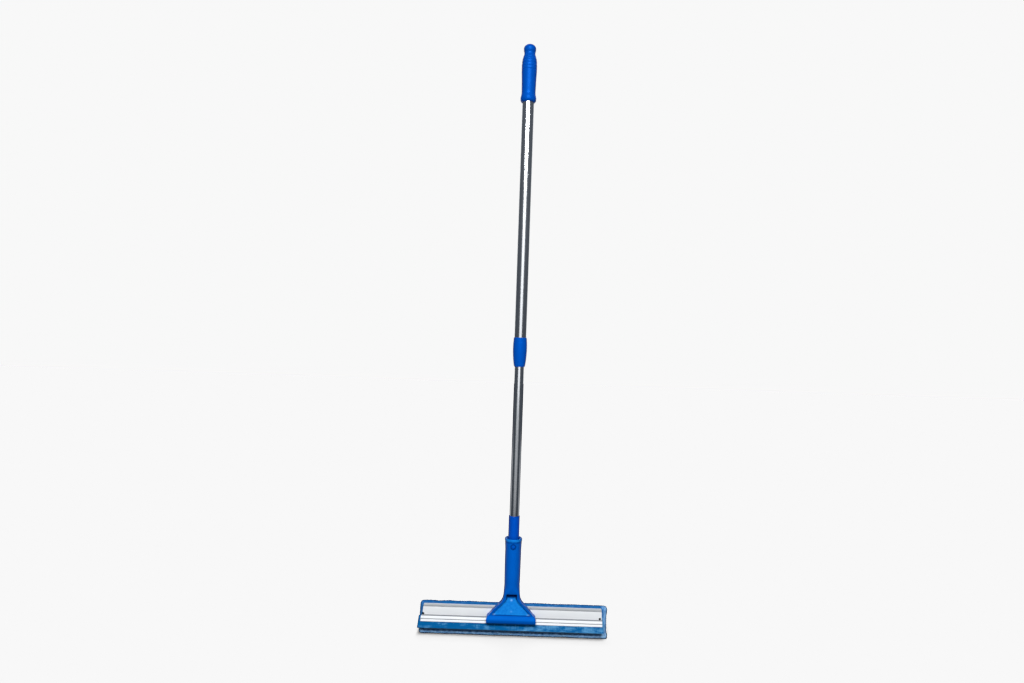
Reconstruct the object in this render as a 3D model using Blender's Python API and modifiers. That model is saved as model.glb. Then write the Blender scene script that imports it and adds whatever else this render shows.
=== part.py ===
"""Window squeegee with a telescopic pole, an aluminium blade holder and a washing pad.

Frame: metres, +Z up along the pole, -Y to the front, X along the blade.
The origin is the middle of the blade's wiping edge, straight below the pole's axis.
"""
import math

import bmesh
import bpy
from mathutils import Matrix, Vector

# Fits shared by all pieces
FIT = 0.0003                    # gap between pieces that touch or are pressed together
ROUND_STEPS = 32                # facets round a large turned piece
SMALL_STEPS = 16                # facets round a small turned piece
OVERCUT = 0.004                 # how far a cutter runs past the face that it opens

# Rubber blade
BLADE_LEAN = math.radians(20.0)  # the blade leans forward towards its edge
BLADE_OVERHANG_LEFT = 0.00765   # how far the blade stands out past the holder's ends
BLADE_OVERHANG_RIGHT = 0.00285
BLADE_WIDTH = 0.0240
BLADE_THICK = 0.0024
BLADE_SKEW = 0.0030             # the left end is cut this much off square
BEAD_THICK = 0.0034             # thick root that the holder grips
BEAD_CHAMFER = 0.0004
BLADE_EXPOSED = 0.0114          # free height of the blade below the holder

# Aluminium blade holder
HOLDER_LENGTH = 0.3385          # the blade, the pad and the screws follow the holder's ends
HOLDER_SHIFT = 0.0024           # the holder's middle, right of the pole
HOLDER_WALL = 0.0012
MOUTH_HEIGHT = 0.0048           # narrow mouth of the channel, below the bead
HOLDER_TOP_Z = 0.0441
LIP_HEIGHT = 0.0039
LIP_REACH = 0.0017              # how far the rolled lip stands out at the front
LIP_ROUND = 0.0009
LINE_UP_CHANNEL = 0.0043        # fine groove in the channel's face, from its lower edge
LINE_HALF_WIDTH = 0.00035
LINE_DEPTH = 0.0004
FOLD_UP_CHANNEL = 0.0118        # where the slanted channel meets the upright field
FOLD_GROOVE_HEIGHT = 0.0009
FOLD_GROOVE_DEPTH = 0.0006

# Screws in the holder
STOP_SCREW_R = 0.0013
STOP_SCREW_LENGTH = 0.0016
STOP_SCREW_SOCKET_R = 0.0006
STOP_SCREW_INSET = 0.0032       # from each end of the holder to the screw's axis
STOP_SCREW_UP = 0.0016          # above the fold line
PLATE_SCREW_R = 0.0016
PLATE_SCREW_HEAD_R = 0.0030
PLATE_SCREW_HEAD_HEIGHT = 0.0014
PLATE_SCREW_BITE = 0.0080       # length that bites into the head
PLATE_SCREW_SPREAD = 0.0360
PLATE_SCREW_UP = 0.0300
PLATE_SCREW_POINT = 0.0020

# Hook tape and washing pad
TAPE_THICK = 0.0013
TAPE_HEIGHT = 0.0190
TAPE_END_MARGIN = 0.0030
TAPE_TOP_MARGIN = 0.0007
PAD_OVERHANG_LEFT = 0.00575     # how far the pad stands out past the holder's ends
PAD_OVERHANG_RIGHT = 0.00875
PAD_HEIGHT = 0.0595
PAD_THICK = 0.0150
PAD_TOP_Z = 0.0430
PAD_RIM = 0.0085                # fibre border round the backing
PAD_CROWN = 0.0016              # rise of the flat middle over the edges
PAD_FLAT = 1.6                  # how soon the rise levels out
PAD_DRAW_IN = 0.0010
PAD_BACKING_THICK = 0.0012
PAD_FOAM_THICK = 0.0090
PAD_FOAM_ROUND = 0.0020

# Moulded head
FAN_HALF_WIDTH = 0.0466
FAN_BOTTOM_Z = 0.0145
FAN_FRONT = 0.0090              # front face, ahead of the pole's axis
FAN_EDGE_R = 0.0015             # rounding of the fan's front edges
BAR_TOP_Z = 0.0307              # the lower bar is rounded out, ahead of the fan's front
SCOOP_TOP_Z = 0.0698
SCOOP_TOP_HALF_WIDTH = 0.0095
SCOOP_BEND_HALF_WIDTH = 0.0104
SCOOP_BEND_Z = 0.0592
SCOOP_CORNER_HALF_WIDTH = 0.0350
SCOOP_CORNER_Z = 0.0338
SCOOP_CORNER_R = 0.0009
SCOOP_DEPTH_TOP = 0.0095
SCOOP_DEPTH_BOTTOM = 0.0012
NECK_WAIST_R = 0.0143
NECK_WAIST_Z = 0.0906
NECK_END_R = 0.0147
NECK_END_Z = 0.0840             # round above this height, flattening to the fan below it
SOCKET_R = 0.0153               # at the height of the button
SOCKET_RIM_UP = 0.0127          # the socket's rim above the button's middle
SOCKET_BEAD_R = 0.0162
SOCKET_BEAD_HEIGHT = 0.0056
SOCKET_FLOOR_Z = 0.0983
SOCKET_CORE_R = 0.0095          # hollow core under the socket
SOCKET_CORE_Z = 0.0743
SOCKET_MOUTH_CHAMFER = 0.0013
BUTTON_HOLE_R = 0.00435

# Adapter between head and pole
PLUG_R = 0.0120
ADAPTER_LENGTH = 0.1165
ADAPTER_SLEEVE_WALL = 0.0013
ADAPTER_NECK_HEIGHT = 0.0040    # cone between plug and sleeve
ADAPTER_NECK_DROP = 0.0010      # the cone's top below the socket's top
ADAPTER_CAVITY_R = 0.0093
ADAPTER_FLOOR = 0.0060          # wall between the cavity and the tube's seat
ADAPTER_VENT_R = 0.0030
TUBE_SEAT_DEPTH = 0.0405
RIVET_DROP = 0.0030             # rivet below the sleeve's upper edge
RIVET_R = 0.0010
RIVET_HEAD_R = 0.0015
RIVET_HEAD_THICK = 0.0005

# Snap button and its leaf spring
BUTTON_R = 0.0039
BUTTON_HEADROOM = 0.0080        # the cavity's top above the button's middle
BUTTON_SINK = 0.0015            # the button's end below the socket's surface
BUTTON_DOME = 0.0006
BUTTON_FLANGE_R = 0.0048
BUTTON_FLANGE_THICK = 0.0012
LEAF_THICK = 0.0006
LEAF_WIDTH = 0.0060
LEAF_PAD_HEIGHT = 0.0090        # flat of the front leg behind the button
LEAF_BEND_DROP = 0.0290         # the bend's middle below the button
LEAF_BEND_R = 0.0020
LEAF_BEND_STEPS = 6

# Tubes
OUTER_TUBE_R = 0.0110
INNER_TUBE_R = 0.0086
TUBE_WALL = 0.0009
OUTER_TUBE_LENGTH = 0.5560
INNER_TUBE_LENGTH = 0.5700
SHOWN_TUBE = 0.2772             # bare inner tube between adapter and collar, as photographed
STOP_BEAD_UP = 0.0307           # rolled bead above the outer tube's lower end
STOP_BEAD_DEPTH = 0.0007
STOP_BEAD_HALF = 0.0009         # half height of the bead's flat
STOP_BEAD_SLOPE = 0.0009

# Collar and guide bush
COLLAR_LENGTH = 0.0560
COLLAR_GUIDE = 0.0161           # length that guides the inner tube
COLLAR_END_WALL = 0.0006
COLLAR_RIB_REACH = 0.00065      # rib that snaps into the tube's rolled groove
COLLAR_RIB_HALF = 0.0004
BUSH_FLANGE_THICK = 0.0013
BUSH_LENGTH = 0.0270

# Hand grip
GRIP_DEPTH = 0.0790             # length of tube inside the grip
GRIP_LENGTH = 0.1104
GRIP_RIB_COUNT = 5
GRIP_RIB_FIRST = 0.0590         # lowest ring above the grip's lower end
GRIP_RIB_PITCH = 0.0055
GRIP_RIB_DEPTH = 0.0004
GRIP_RIB_HALF = 0.0008

# Twist lock inside the outer tube
LOCK_PITCH = 0.0040
LOCK_FLANGE_THICK = 0.0030
LOCK_FLANGE_R = 0.0097
LOCK_PLUG_DEPTH = 0.0220
LOCK_STUD_R = 0.0030            # crest of the stud's thread
LOCK_THREAD_DEPTH = 0.0005
LOCK_THREAD_STEPS = 4           # rings along one turn of the thread
STUD_PLAIN = 0.0100             # plain lower stretch of the stud
STUD_LENGTH = 0.0360
STUD_RING_DROP = 0.0032         # the ring groove's top below the stud's end
STUD_LAND = 0.0006              # plain land between the thread's end and the ring's groove
RING_THICK = 0.0012
RING_R = 0.0055
RING_BITE = 0.0004              # how deep the ring sits under the stud's crest
SLEEVE_LENGTH = 0.0240
SLEEVE_FLOOR = 0.0020
SLEEVE_BORE_R = 0.0060
SLEEVE_MOUTH_R = 0.0084
SLEEVE_CONE_UP = 0.0088         # the cone starts this far above the sleeve's end
SLEEVE_SLOT = 0.0026
NUT_UP = 0.0103                 # the nut's lower end above the sleeve's end
NUT_LENGTH = 0.0180
NUT_KEY_R = 0.0093

# Sizes that follow from the ones above
MOUTH_HALF = BLADE_THICK / 2 + FIT
SLOT_HALF = BEAD_THICK / 2 + FIT
CHANNEL_HALF = SLOT_HALF + HOLDER_WALL
MOUTH_TOP = BLADE_EXPOSED + MOUTH_HEIGHT
BEAD_START = MOUTH_TOP + FIT
SLOT_END = BLADE_WIDTH + FIT
CHANNEL_END = SLOT_END + HOLDER_WALL
FOLD = BLADE_EXPOSED + FOLD_UP_CHANNEL

OUTER_BORE_R = OUTER_TUBE_R - TUBE_WALL
INNER_BORE_R = INNER_TUBE_R - TUBE_WALL
GUIDE_R = INNER_TUBE_R + FIT
COLLAR_BORE_R = OUTER_TUBE_R + FIT
GRIP_BORE_R = OUTER_TUBE_R + FIT
ADAPTER_SLEEVE_R = GUIDE_R + ADAPTER_SLEEVE_WALL
SOCKET_BORE_R = PLUG_R + FIT

ADAPTER_Z = SOCKET_FLOOR_Z + FIT
ADAPTER_TOP_Z = ADAPTER_Z + ADAPTER_LENGTH
INNER_TUBE_Z = ADAPTER_TOP_Z - TUBE_SEAT_DEPTH
TUBE_SEAT_Z = INNER_TUBE_Z - FIT
CAVITY_TOP_Z = TUBE_SEAT_Z - ADAPTER_FLOOR
BUTTON_Z = CAVITY_TOP_Z - BUTTON_HEADROOM
SOCKET_TOP_Z = BUTTON_Z + SOCKET_RIM_UP
RIVET_Z = ADAPTER_TOP_Z - RIVET_DROP
INNER_TUBE_TOP_Z = INNER_TUBE_Z + INNER_TUBE_LENGTH
COLLAR_Z = ADAPTER_TOP_Z + SHOWN_TUBE
BUSH_Z = COLLAR_Z + COLLAR_GUIDE + FIT
OUTER_TUBE_Z = BUSH_Z + BUSH_FLANGE_THICK + FIT
OUTER_TUBE_TOP_Z = OUTER_TUBE_Z + OUTER_TUBE_LENGTH
STOP_BEAD_Z = OUTER_TUBE_Z + STOP_BEAD_UP
GRIP_Z = OUTER_TUBE_TOP_Z - GRIP_DEPTH
LOCK_Z = INNER_TUBE_TOP_Z + FIT
SLEEVE_Z = LOCK_Z + LOCK_FLANGE_THICK + FIT
STUD_TOP_Z = LOCK_Z + LOCK_FLANGE_THICK + STUD_LENGTH
RING_TOP_Z = STUD_TOP_Z - STUD_RING_DROP - FIT
NUT_Z = SLEEVE_Z + NUT_UP

PARTS = bpy.data.collections.new("window_squeegee")
CUTTERS = bpy.data.collections.new("cutters")


def clear_scene():
    """Remove the objects that are in the scene and link the two collections."""
    for old in list(bpy.data.objects):
        bpy.data.objects.remove(old, do_unlink=True)
    for collection in (PARTS, CUTTERS):
        bpy.context.scene.collection.children.link(collection)


def material(name, colour, roughness, metallic=0.0):
    """One Principled material with linear colour."""
    made = bpy.data.materials.new(name)
    made.use_nodes = True
    shader = made.node_tree.nodes["Principled BSDF"]
    shader.inputs["Base Color"].default_value = (*colour, 1.0)
    shader.inputs["Roughness"].default_value = roughness
    shader.inputs["Metallic"].default_value = metallic
    made.diffuse_color = (*colour, 1.0)
    return made


def place(name, mesh, finish, cutter=False):
    """Make an object from a mesh, in the parts or in the cutters."""
    made = bpy.data.objects.new(name, mesh)
    if finish:
        mesh.materials.append(finish)
    (CUTTERS if cutter else PARTS).objects.link(made)
    if cutter:
        made.hide_render = True
        made.display_type = "WIRE"
    return made


def mesh_from(name, build):
    """Fill a new mesh with bmesh steps."""
    work = bmesh.new()
    build(work)
    bmesh.ops.recalc_face_normals(work, faces=work.faces)
    mesh = bpy.data.meshes.new(name)
    work.to_mesh(mesh)
    work.free()
    return mesh


def turned(name, profile, finish, steps=ROUND_STEPS, closed=False, cutter=False):
    """Turn a profile of (radius, height) round Z; it runs down the outside first."""
    mesh = bpy.data.meshes.new(name)
    count = len(profile)
    links = [(index, index + 1) for index in range(count - 1)]
    if closed:
        links.append((count - 1, 0))
    mesh.from_pydata([(radius, 0.0, height) for radius, height in profile], links, [])
    made = place(name, mesh, finish, cutter)
    screw = made.modifiers.new("turn", "SCREW")
    screw.axis = "Z"
    screw.angle = math.tau
    screw.steps = steps
    screw.render_steps = steps
    screw.use_merge_vertices = True
    screw.merge_threshold = 0.00001
    screw.use_smooth_shade = True
    return made


def facing(made, location, direction):
    """Put a turned object's +Z along a direction at a location."""
    made.location = location
    made.rotation_mode = "QUATERNION"
    made.rotation_quaternion = Vector((0.0, 0.0, 1.0)).rotation_difference(Vector(direction))
    return made


def outline_mesh(name, outlines, low, high, to_world):
    """Fill flat outlines, a first one and its holes, and give them a thickness from low to high."""
    curve = bpy.data.curves.new(name, "CURVE")
    curve.dimensions = "2D"
    curve.fill_mode = "BOTH"
    curve.extrude = (high - low) / 2
    for outline in outlines:
        spline = curve.splines.new("POLY")
        spline.points.add(len(outline) - 1)
        for point, (across, up) in zip(spline.points, outline):
            point.co = (across, up, 0.0, 1.0)
        spline.use_cyclic_u = True
    holder = bpy.data.objects.new(name, curve)
    bpy.context.scene.collection.objects.link(holder)
    evaluated = holder.evaluated_get(bpy.context.evaluated_depsgraph_get())
    mesh = bpy.data.meshes.new_from_object(evaluated)
    bpy.data.objects.remove(holder, do_unlink=True)
    bpy.data.curves.remove(curve)
    work = bmesh.new()
    work.from_mesh(mesh)
    bmesh.ops.remove_doubles(work, verts=work.verts, dist=0.000005)
    bmesh.ops.translate(work, verts=work.verts, vec=(0.0, 0.0, (low + high) / 2))
    bmesh.ops.transform(work, matrix=to_world, verts=work.verts)
    bmesh.ops.dissolve_limit(work, angle_limit=0.001, verts=work.verts, edges=work.edges)
    bmesh.ops.recalc_face_normals(work, faces=work.faces)
    work.to_mesh(mesh)
    work.free()
    mesh.name = name
    return mesh


# An outline drawn in (y, z) and thickened along X, and one drawn in (x, z) and thickened along Y
ALONG_X = Matrix(((0, 0, 1, 0), (1, 0, 0, 0), (0, 1, 0, 0), (0, 0, 0, 1)))
ALONG_Y = Matrix(((1, 0, 0, 0), (0, 0, 1, 0), (0, 1, 0, 0), (0, 0, 0, 1)))


def box(name, low, high, finish, cutter=False):
    """A box between two corners."""
    def build(work):
        bmesh.ops.create_cube(work, size=1.0)
        size = [top - bottom for bottom, top in zip(low, high)]
        middle = [(top + bottom) / 2 for bottom, top in zip(low, high)]
        bmesh.ops.scale(work, vec=size, verts=work.verts)
        bmesh.ops.translate(work, vec=middle, verts=work.verts)
    return place(name, mesh_from(name, build), finish, cutter)


def cut(made, cutter, how="DIFFERENCE"):
    """Cut or join another object with an exact Boolean."""
    modifier = made.modifiers.new(cutter.name, "BOOLEAN")
    modifier.operation = how
    modifier.solver = "EXACT"
    modifier.object = cutter


def round_cutter(name, radius, start, direction, length, steps=SMALL_STEPS):
    """A cylinder that starts at a point and runs along a direction."""
    profile = [(0.0, length), (radius, length), (radius, 0.0), (0.0, 0.0)]
    return facing(turned(name, profile, None, steps, cutter=True), start, direction)


def bend(start, control, end, count):
    """Points on a curve from start to end that leaves and arrives towards the control point."""
    points = []
    for index in range(count + 1):
        share = index / count
        rest = 1.0 - share
        points.append(tuple(rest * rest * a + 2 * rest * share * b + share * share * c
                            for a, b, c in zip(start, control, end)))
    return points


def mirrored(half):
    """A whole outline from its right half, which runs from the bottom to the top."""
    return half + [(-across, up) for across, up in reversed(half)]


def on_blade(up, ahead):
    """(y, z) at a height up the leaning blade and a distance ahead of its middle plane."""
    y = up * math.sin(BLADE_LEAN) - ahead * math.cos(BLADE_LEAN)
    z = up * math.cos(BLADE_LEAN) + ahead * math.sin(BLADE_LEAN)
    return (y, z)


HOLDER_FRONT, FOLD_Z = on_blade(FOLD, CHANNEL_HALF)
HOLDER_BACK = on_blade(CHANNEL_END, -CHANNEL_HALF)[0]
HOLDER_LEFT = HOLDER_SHIFT - HOLDER_LENGTH / 2
HOLDER_RIGHT = HOLDER_SHIFT + HOLDER_LENGTH / 2
BLADE_LEFT = HOLDER_LEFT - BLADE_OVERHANG_LEFT
BLADE_RIGHT = HOLDER_RIGHT + BLADE_OVERHANG_RIGHT
PAD_LEFT = HOLDER_LEFT - PAD_OVERHANG_LEFT
PAD_RIGHT = HOLDER_RIGHT + PAD_OVERHANG_RIGHT
PAD_MIDDLE = (PAD_LEFT + PAD_RIGHT) / 2
LIP_Z = HOLDER_TOP_Z - LIP_HEIGHT
STOP_SCREW_Z = FOLD_Z + STOP_SCREW_UP
TAPE_FRONT = HOLDER_BACK + FIT
PAD_FRONT = TAPE_FRONT + TAPE_THICK + FIT
PAD_BACK = PAD_FRONT + PAD_THICK
PAD_BOTTOM_Z = PAD_TOP_Z - PAD_HEIGHT
PLUG_TOP_Z = SOCKET_TOP_Z - ADAPTER_NECK_DROP - ADAPTER_NECK_HEIGHT


def make_blade(finish):
    """Flat rubber strip with a thick root; its left end is cut a little skew."""
    half = BLADE_THICK / 2
    root = BEAD_THICK / 2
    side = [(0.0, half), (BEAD_START, half), (BEAD_START, root - BEAD_CHAMFER),
            (BEAD_START + BEAD_CHAMFER, root), (BLADE_WIDTH - BEAD_CHAMFER, root),
            (BLADE_WIDTH, root - BEAD_CHAMFER)]
    section = [on_blade(up, ahead) for up, ahead in side]
    section += [on_blade(up, -ahead) for up, ahead in reversed(side)]
    mesh = outline_mesh("rubber_blade", [section], BLADE_LEFT, BLADE_RIGHT, ALONG_X)
    for vertex in mesh.vertices:
        if vertex.co.x < 0.0:
            up = vertex.co.y * math.sin(BLADE_LEAN) + vertex.co.z * math.cos(BLADE_LEAN)
            vertex.co.x += BLADE_SKEW * up / BLADE_WIDTH
    return place("rubber_blade", mesh, finish)


def holder_section():
    """Outline of the extruded profile in (y, z), with the blade channel and the rolled lip."""
    line = BLADE_EXPOSED + LINE_UP_CHANNEL
    points = [on_blade(BLADE_EXPOSED, CHANNEL_HALF),
              on_blade(line - LINE_HALF_WIDTH, CHANNEL_HALF),
              on_blade(line, CHANNEL_HALF - LINE_DEPTH),
              on_blade(line + LINE_HALF_WIDTH, CHANNEL_HALF),
              (HOLDER_FRONT, FOLD_Z),
              (HOLDER_FRONT + FOLD_GROOVE_DEPTH, FOLD_Z),
              (HOLDER_FRONT + FOLD_GROOVE_DEPTH, FOLD_Z + FOLD_GROOVE_HEIGHT),
              (HOLDER_FRONT, FOLD_Z + FOLD_GROOVE_HEIGHT),
              (HOLDER_FRONT, LIP_Z)]
    lip = HOLDER_FRONT - LIP_REACH
    points += bend((lip + LIP_ROUND, LIP_Z), (lip, LIP_Z), (lip, LIP_Z + LIP_ROUND), 3)
    points += bend((lip, HOLDER_TOP_Z - LIP_ROUND), (lip, HOLDER_TOP_Z),
                   (lip + LIP_ROUND, HOLDER_TOP_Z), 3)
    points += [(HOLDER_BACK - LIP_ROUND, HOLDER_TOP_Z), (HOLDER_BACK, HOLDER_TOP_Z - LIP_ROUND)]
    back = [(CHANNEL_END, CHANNEL_HALF), (BLADE_EXPOSED, CHANNEL_HALF), (BLADE_EXPOSED, MOUTH_HALF),
            (MOUTH_TOP, MOUTH_HALF), (MOUTH_TOP, SLOT_HALF), (SLOT_END, SLOT_HALF)]
    points += [on_blade(up, -behind) for up, behind in back]
    points += [on_blade(up, ahead) for up, ahead in reversed(back[2:])]
    return points


def make_holder(finish):
    """Aluminium profile, a hollow box with the channel for the blade along its foot."""
    front = HOLDER_FRONT + HOLDER_WALL
    back = HOLDER_BACK - HOLDER_WALL
    along = (CHANNEL_END * math.sin(BLADE_LEAN) - front) / math.cos(BLADE_LEAN)
    floor = on_blade(CHANNEL_END, along)[1]
    roof = HOLDER_TOP_Z - HOLDER_WALL
    hollow = [(front, floor), (front, roof), (back, roof), (back, floor)]
    mesh = outline_mesh("blade_holder", [holder_section(), hollow],
                        HOLDER_LEFT, HOLDER_RIGHT, ALONG_X)
    holder = place("blade_holder", mesh, finish)
    for side, x in stop_screw_places():
        start = (x, HOLDER_FRONT - OVERCUT, STOP_SCREW_Z)
        depth = OVERCUT + FIT + STOP_SCREW_LENGTH + FIT
        cut(holder, round_cutter("stop_hole_" + side, STOP_SCREW_R + FIT, start, (0, 1, 0), depth))
    for side, x in plate_screw_places():
        cut(holder, facing(turned("plate_hole_" + side, screw_hole_profile(), None, SMALL_STEPS,
                                  cutter=True), (x, HOLDER_BACK, PLATE_SCREW_UP), (0, 1, 0)))
    return holder


def stop_screw_places():
    """Name and x of the two screws that stop the blade."""
    return (("left", HOLDER_LEFT + STOP_SCREW_INSET), ("right", HOLDER_RIGHT - STOP_SCREW_INSET))


def plate_screw_places():
    """Name and x of the three screws that hold the head."""
    return (("left", -PLATE_SCREW_SPREAD), ("centre", 0.0), ("right", PLATE_SCREW_SPREAD))


def screw_hole_profile():
    """Countersunk hole through both walls of the holder, with its mouth at z = 0."""
    radius = PLATE_SCREW_R + FIT
    mouth = PLATE_SCREW_HEAD_R + FIT
    depth = HOLDER_BACK - HOLDER_FRONT + OVERCUT
    return [(0.0, OVERCUT), (mouth + OVERCUT, OVERCUT), (mouth, 0.0),
            (radius, -PLATE_SCREW_HEAD_HEIGHT), (radius, -depth), (0.0, -depth)]


def make_stop_screws(finish):
    """Black grub screws that pinch the blade's root at both ends of the holder."""
    socket = STOP_SCREW_LENGTH / 2
    profile = [(STOP_SCREW_R, 0.0), (STOP_SCREW_R, -STOP_SCREW_LENGTH), (0.0, -STOP_SCREW_LENGTH)]
    profile = [(0.0, -socket), (STOP_SCREW_SOCKET_R, -socket), (STOP_SCREW_SOCKET_R, 0.0)] + profile
    for side, x in stop_screw_places():
        screw = turned("blade_stop_screw_" + side, profile, finish, SMALL_STEPS)
        facing(screw, (x, HOLDER_FRONT + FIT, STOP_SCREW_Z), (0, -1, 0))


def make_plate_screws(finish):
    """Countersunk screws that go through the holder into the head."""
    length = HOLDER_BACK - HOLDER_FRONT + FIT + PLATE_SCREW_BITE
    profile = [(0.0, 0.0), (PLATE_SCREW_HEAD_R, 0.0), (PLATE_SCREW_R, -PLATE_SCREW_HEAD_HEIGHT),
               (PLATE_SCREW_R, PLATE_SCREW_POINT - length), (0.0, -length)]
    for side, x in plate_screw_places():
        screw = turned("plate_screw_" + side, profile, finish, SMALL_STEPS)
        facing(screw, (x, HOLDER_BACK, PLATE_SCREW_UP), (0, 1, 0))


def round_row(height, radius):
    """A row of the head's form where the section is a circle."""
    return (height, radius, radius, radius, radius, radius)


# The fan's form from its foot up: height, half width, front, back, front corner, back corner
FAN_FORM = ((FAN_BOTTOM_Z, FAN_HALF_WIDTH, 0.0074, 0.0065, 0.0012, 0.0015),
            (0.0152, FAN_HALF_WIDTH, 0.0085, 0.0065, FAN_EDGE_R, 0.0015),
            (0.0168, FAN_HALF_WIDTH, 0.0094, 0.0065, FAN_EDGE_R, 0.0015),
            (0.0200, FAN_HALF_WIDTH, 0.0099, 0.0065, FAN_EDGE_R, 0.0015),
            (0.0248, FAN_HALF_WIDTH, 0.0099, 0.0065, FAN_EDGE_R, 0.0015),
            (0.0280, 0.0462, 0.0096, 0.0065, FAN_EDGE_R, 0.0015),
            (0.0300, 0.0454, 0.0092, 0.0065, FAN_EDGE_R, 0.0015),
            (BAR_TOP_Z, 0.0450, FAN_FRONT, 0.0065, FAN_EDGE_R, 0.0015),
            (0.0325, 0.0437, FAN_FRONT, 0.0065, FAN_EDGE_R, 0.0015),
            (0.0350, 0.0416, FAN_FRONT, 0.0065, FAN_EDGE_R, 0.0015),
            (0.0450, 0.0327, FAN_FRONT, 0.0065, FAN_EDGE_R, 0.0015),
            (0.0570, 0.0221, FAN_FRONT, 0.0077, FAN_EDGE_R, 0.0025),
            (0.0600, 0.0195, FAN_FRONT, 0.0082, FAN_EDGE_R, 0.0030),
            (0.0630, 0.0177, FAN_FRONT, 0.0088, FAN_EDGE_R, 0.0037),
            (0.0660, 0.0164, FAN_FRONT, 0.0095, FAN_EDGE_R, 0.0045),
            (SCOOP_TOP_Z, 0.0154, FAN_FRONT, 0.0105, 0.0018, 0.0060),
            (0.0730, 0.0151, 0.0104, 0.0115, 0.0040, 0.0080),
            (0.0765, 0.0149, 0.0121, 0.0127, 0.0075, 0.0105),
            (0.0800, 0.0148, 0.0135, 0.0138, 0.0112, 0.0128))
ROUND_CORNER_STEPS = 8


def section(half, front, back, front_corner, back_corner):
    """A rounded rectangle in (x, y), four corner arcs that may meet to make a circle."""
    corners = ((half - back_corner, back - back_corner, back_corner, 0.0),
               (back_corner - half, back - back_corner, back_corner, 0.25),
               (front_corner - half, front_corner - front, front_corner, 0.5),
               (half - front_corner, front_corner - front, front_corner, 0.75))
    points = []
    for x, y, radius, first in corners:
        for index in range(ROUND_CORNER_STEPS + 1):
            turn = math.tau * (first + index / (4 * ROUND_CORNER_STEPS))
            points.append((x + radius * math.cos(turn), y + radius * math.sin(turn)))
    return points


def head_rows():
    """All rows of the head's outer form, from the fan's foot to the socket's rim."""
    rows = list(FAN_FORM)
    rows += [round_row(NECK_END_Z, NECK_END_R), round_row(NECK_WAIST_Z, NECK_WAIST_R),
             round_row(BUTTON_Z, SOCKET_R)]
    half_bead = SOCKET_BEAD_HEIGHT / 2
    bead_z = SOCKET_TOP_Z - half_bead
    under = (SOCKET_R + SOCKET_BEAD_R) / 2
    rim = bend((under, bead_z - half_bead), (SOCKET_BEAD_R, bead_z - half_bead), (SOCKET_BEAD_R, bead_z), 3)
    rim += bend((SOCKET_BEAD_R, bead_z), (SOCKET_BEAD_R, SOCKET_TOP_Z), (SOCKET_R, SOCKET_TOP_Z), 3)[1:]
    return rows + [round_row(height, radius) for radius, height in rim]


def head_form_mesh():
    """The head's outer form as a loft through its rows."""
    def build(work):
        rings = []
        for height, *sizes in head_rows():
            rings.append([work.verts.new((x, y, height)) for x, y in section(*sizes)])
        count = len(rings[0])
        for below, above in zip(rings, rings[1:]):
            for index in range(count):
                after = (index + 1) % count
                work.faces.new((below[index], below[after], above[after]))
                work.faces.new((below[index], above[after], above[index]))
        work.faces.new(rings[0][::-1])
        work.faces.new(rings[-1])
        bmesh.ops.remove_doubles(work, verts=work.verts, dist=0.000005)
        bmesh.ops.dissolve_limit(work, angle_limit=0.001, verts=work.verts, edges=work.edges)
        for face in work.faces:
            face.smooth = True
    mesh = mesh_from("head_body", build)
    mesh.set_sharp_from_angle(angle=math.radians(35.0))
    return mesh


def back_trim():
    """What is taken off behind the head, in (y, z), to seat it on the holder."""
    far = 3 * NECK_WAIST_R
    face = HOLDER_FRONT - FIT
    lip = HOLDER_FRONT - LIP_REACH - FIT
    above = HOLDER_TOP_Z + FIT
    return [(far, FAN_BOTTOM_Z - 2 * OVERCUT), on_blade(BLADE_EXPOSED - OVERCUT, CHANNEL_HALF + FIT),
            on_blade(FOLD - FIT * math.tan(BLADE_LEAN / 2), CHANNEL_HALF + FIT), (face, LIP_Z - FIT),
            (lip, LIP_Z - FIT), (lip, above), (far, above)]


def scoop_mesh():
    """The scooped recess of the fan; its floor rises towards the lower bar."""
    foot = SCOOP_CORNER_HALF_WIDTH
    half = bend((foot - SCOOP_CORNER_R, BAR_TOP_Z), (foot + SCOOP_CORNER_R, BAR_TOP_Z),
                (foot, SCOOP_CORNER_Z), 3)
    half += [(SCOOP_BEND_HALF_WIDTH, SCOOP_BEND_Z), (SCOOP_TOP_HALF_WIDTH, SCOOP_TOP_Z)]
    mesh = outline_mesh("scoop", [mirrored(half)], -3 * NECK_WAIST_R, 0.0, ALONG_Y)
    slope = (SCOOP_DEPTH_TOP - SCOOP_DEPTH_BOTTOM) / (SCOOP_TOP_Z - BAR_TOP_Z)
    for vertex in mesh.vertices:
        if vertex.co.y > -NECK_WAIST_R:
            depth = SCOOP_DEPTH_BOTTOM + slope * (vertex.co.z - BAR_TOP_Z)
            vertex.co.y = -FAN_FRONT + depth
    return mesh


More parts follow.
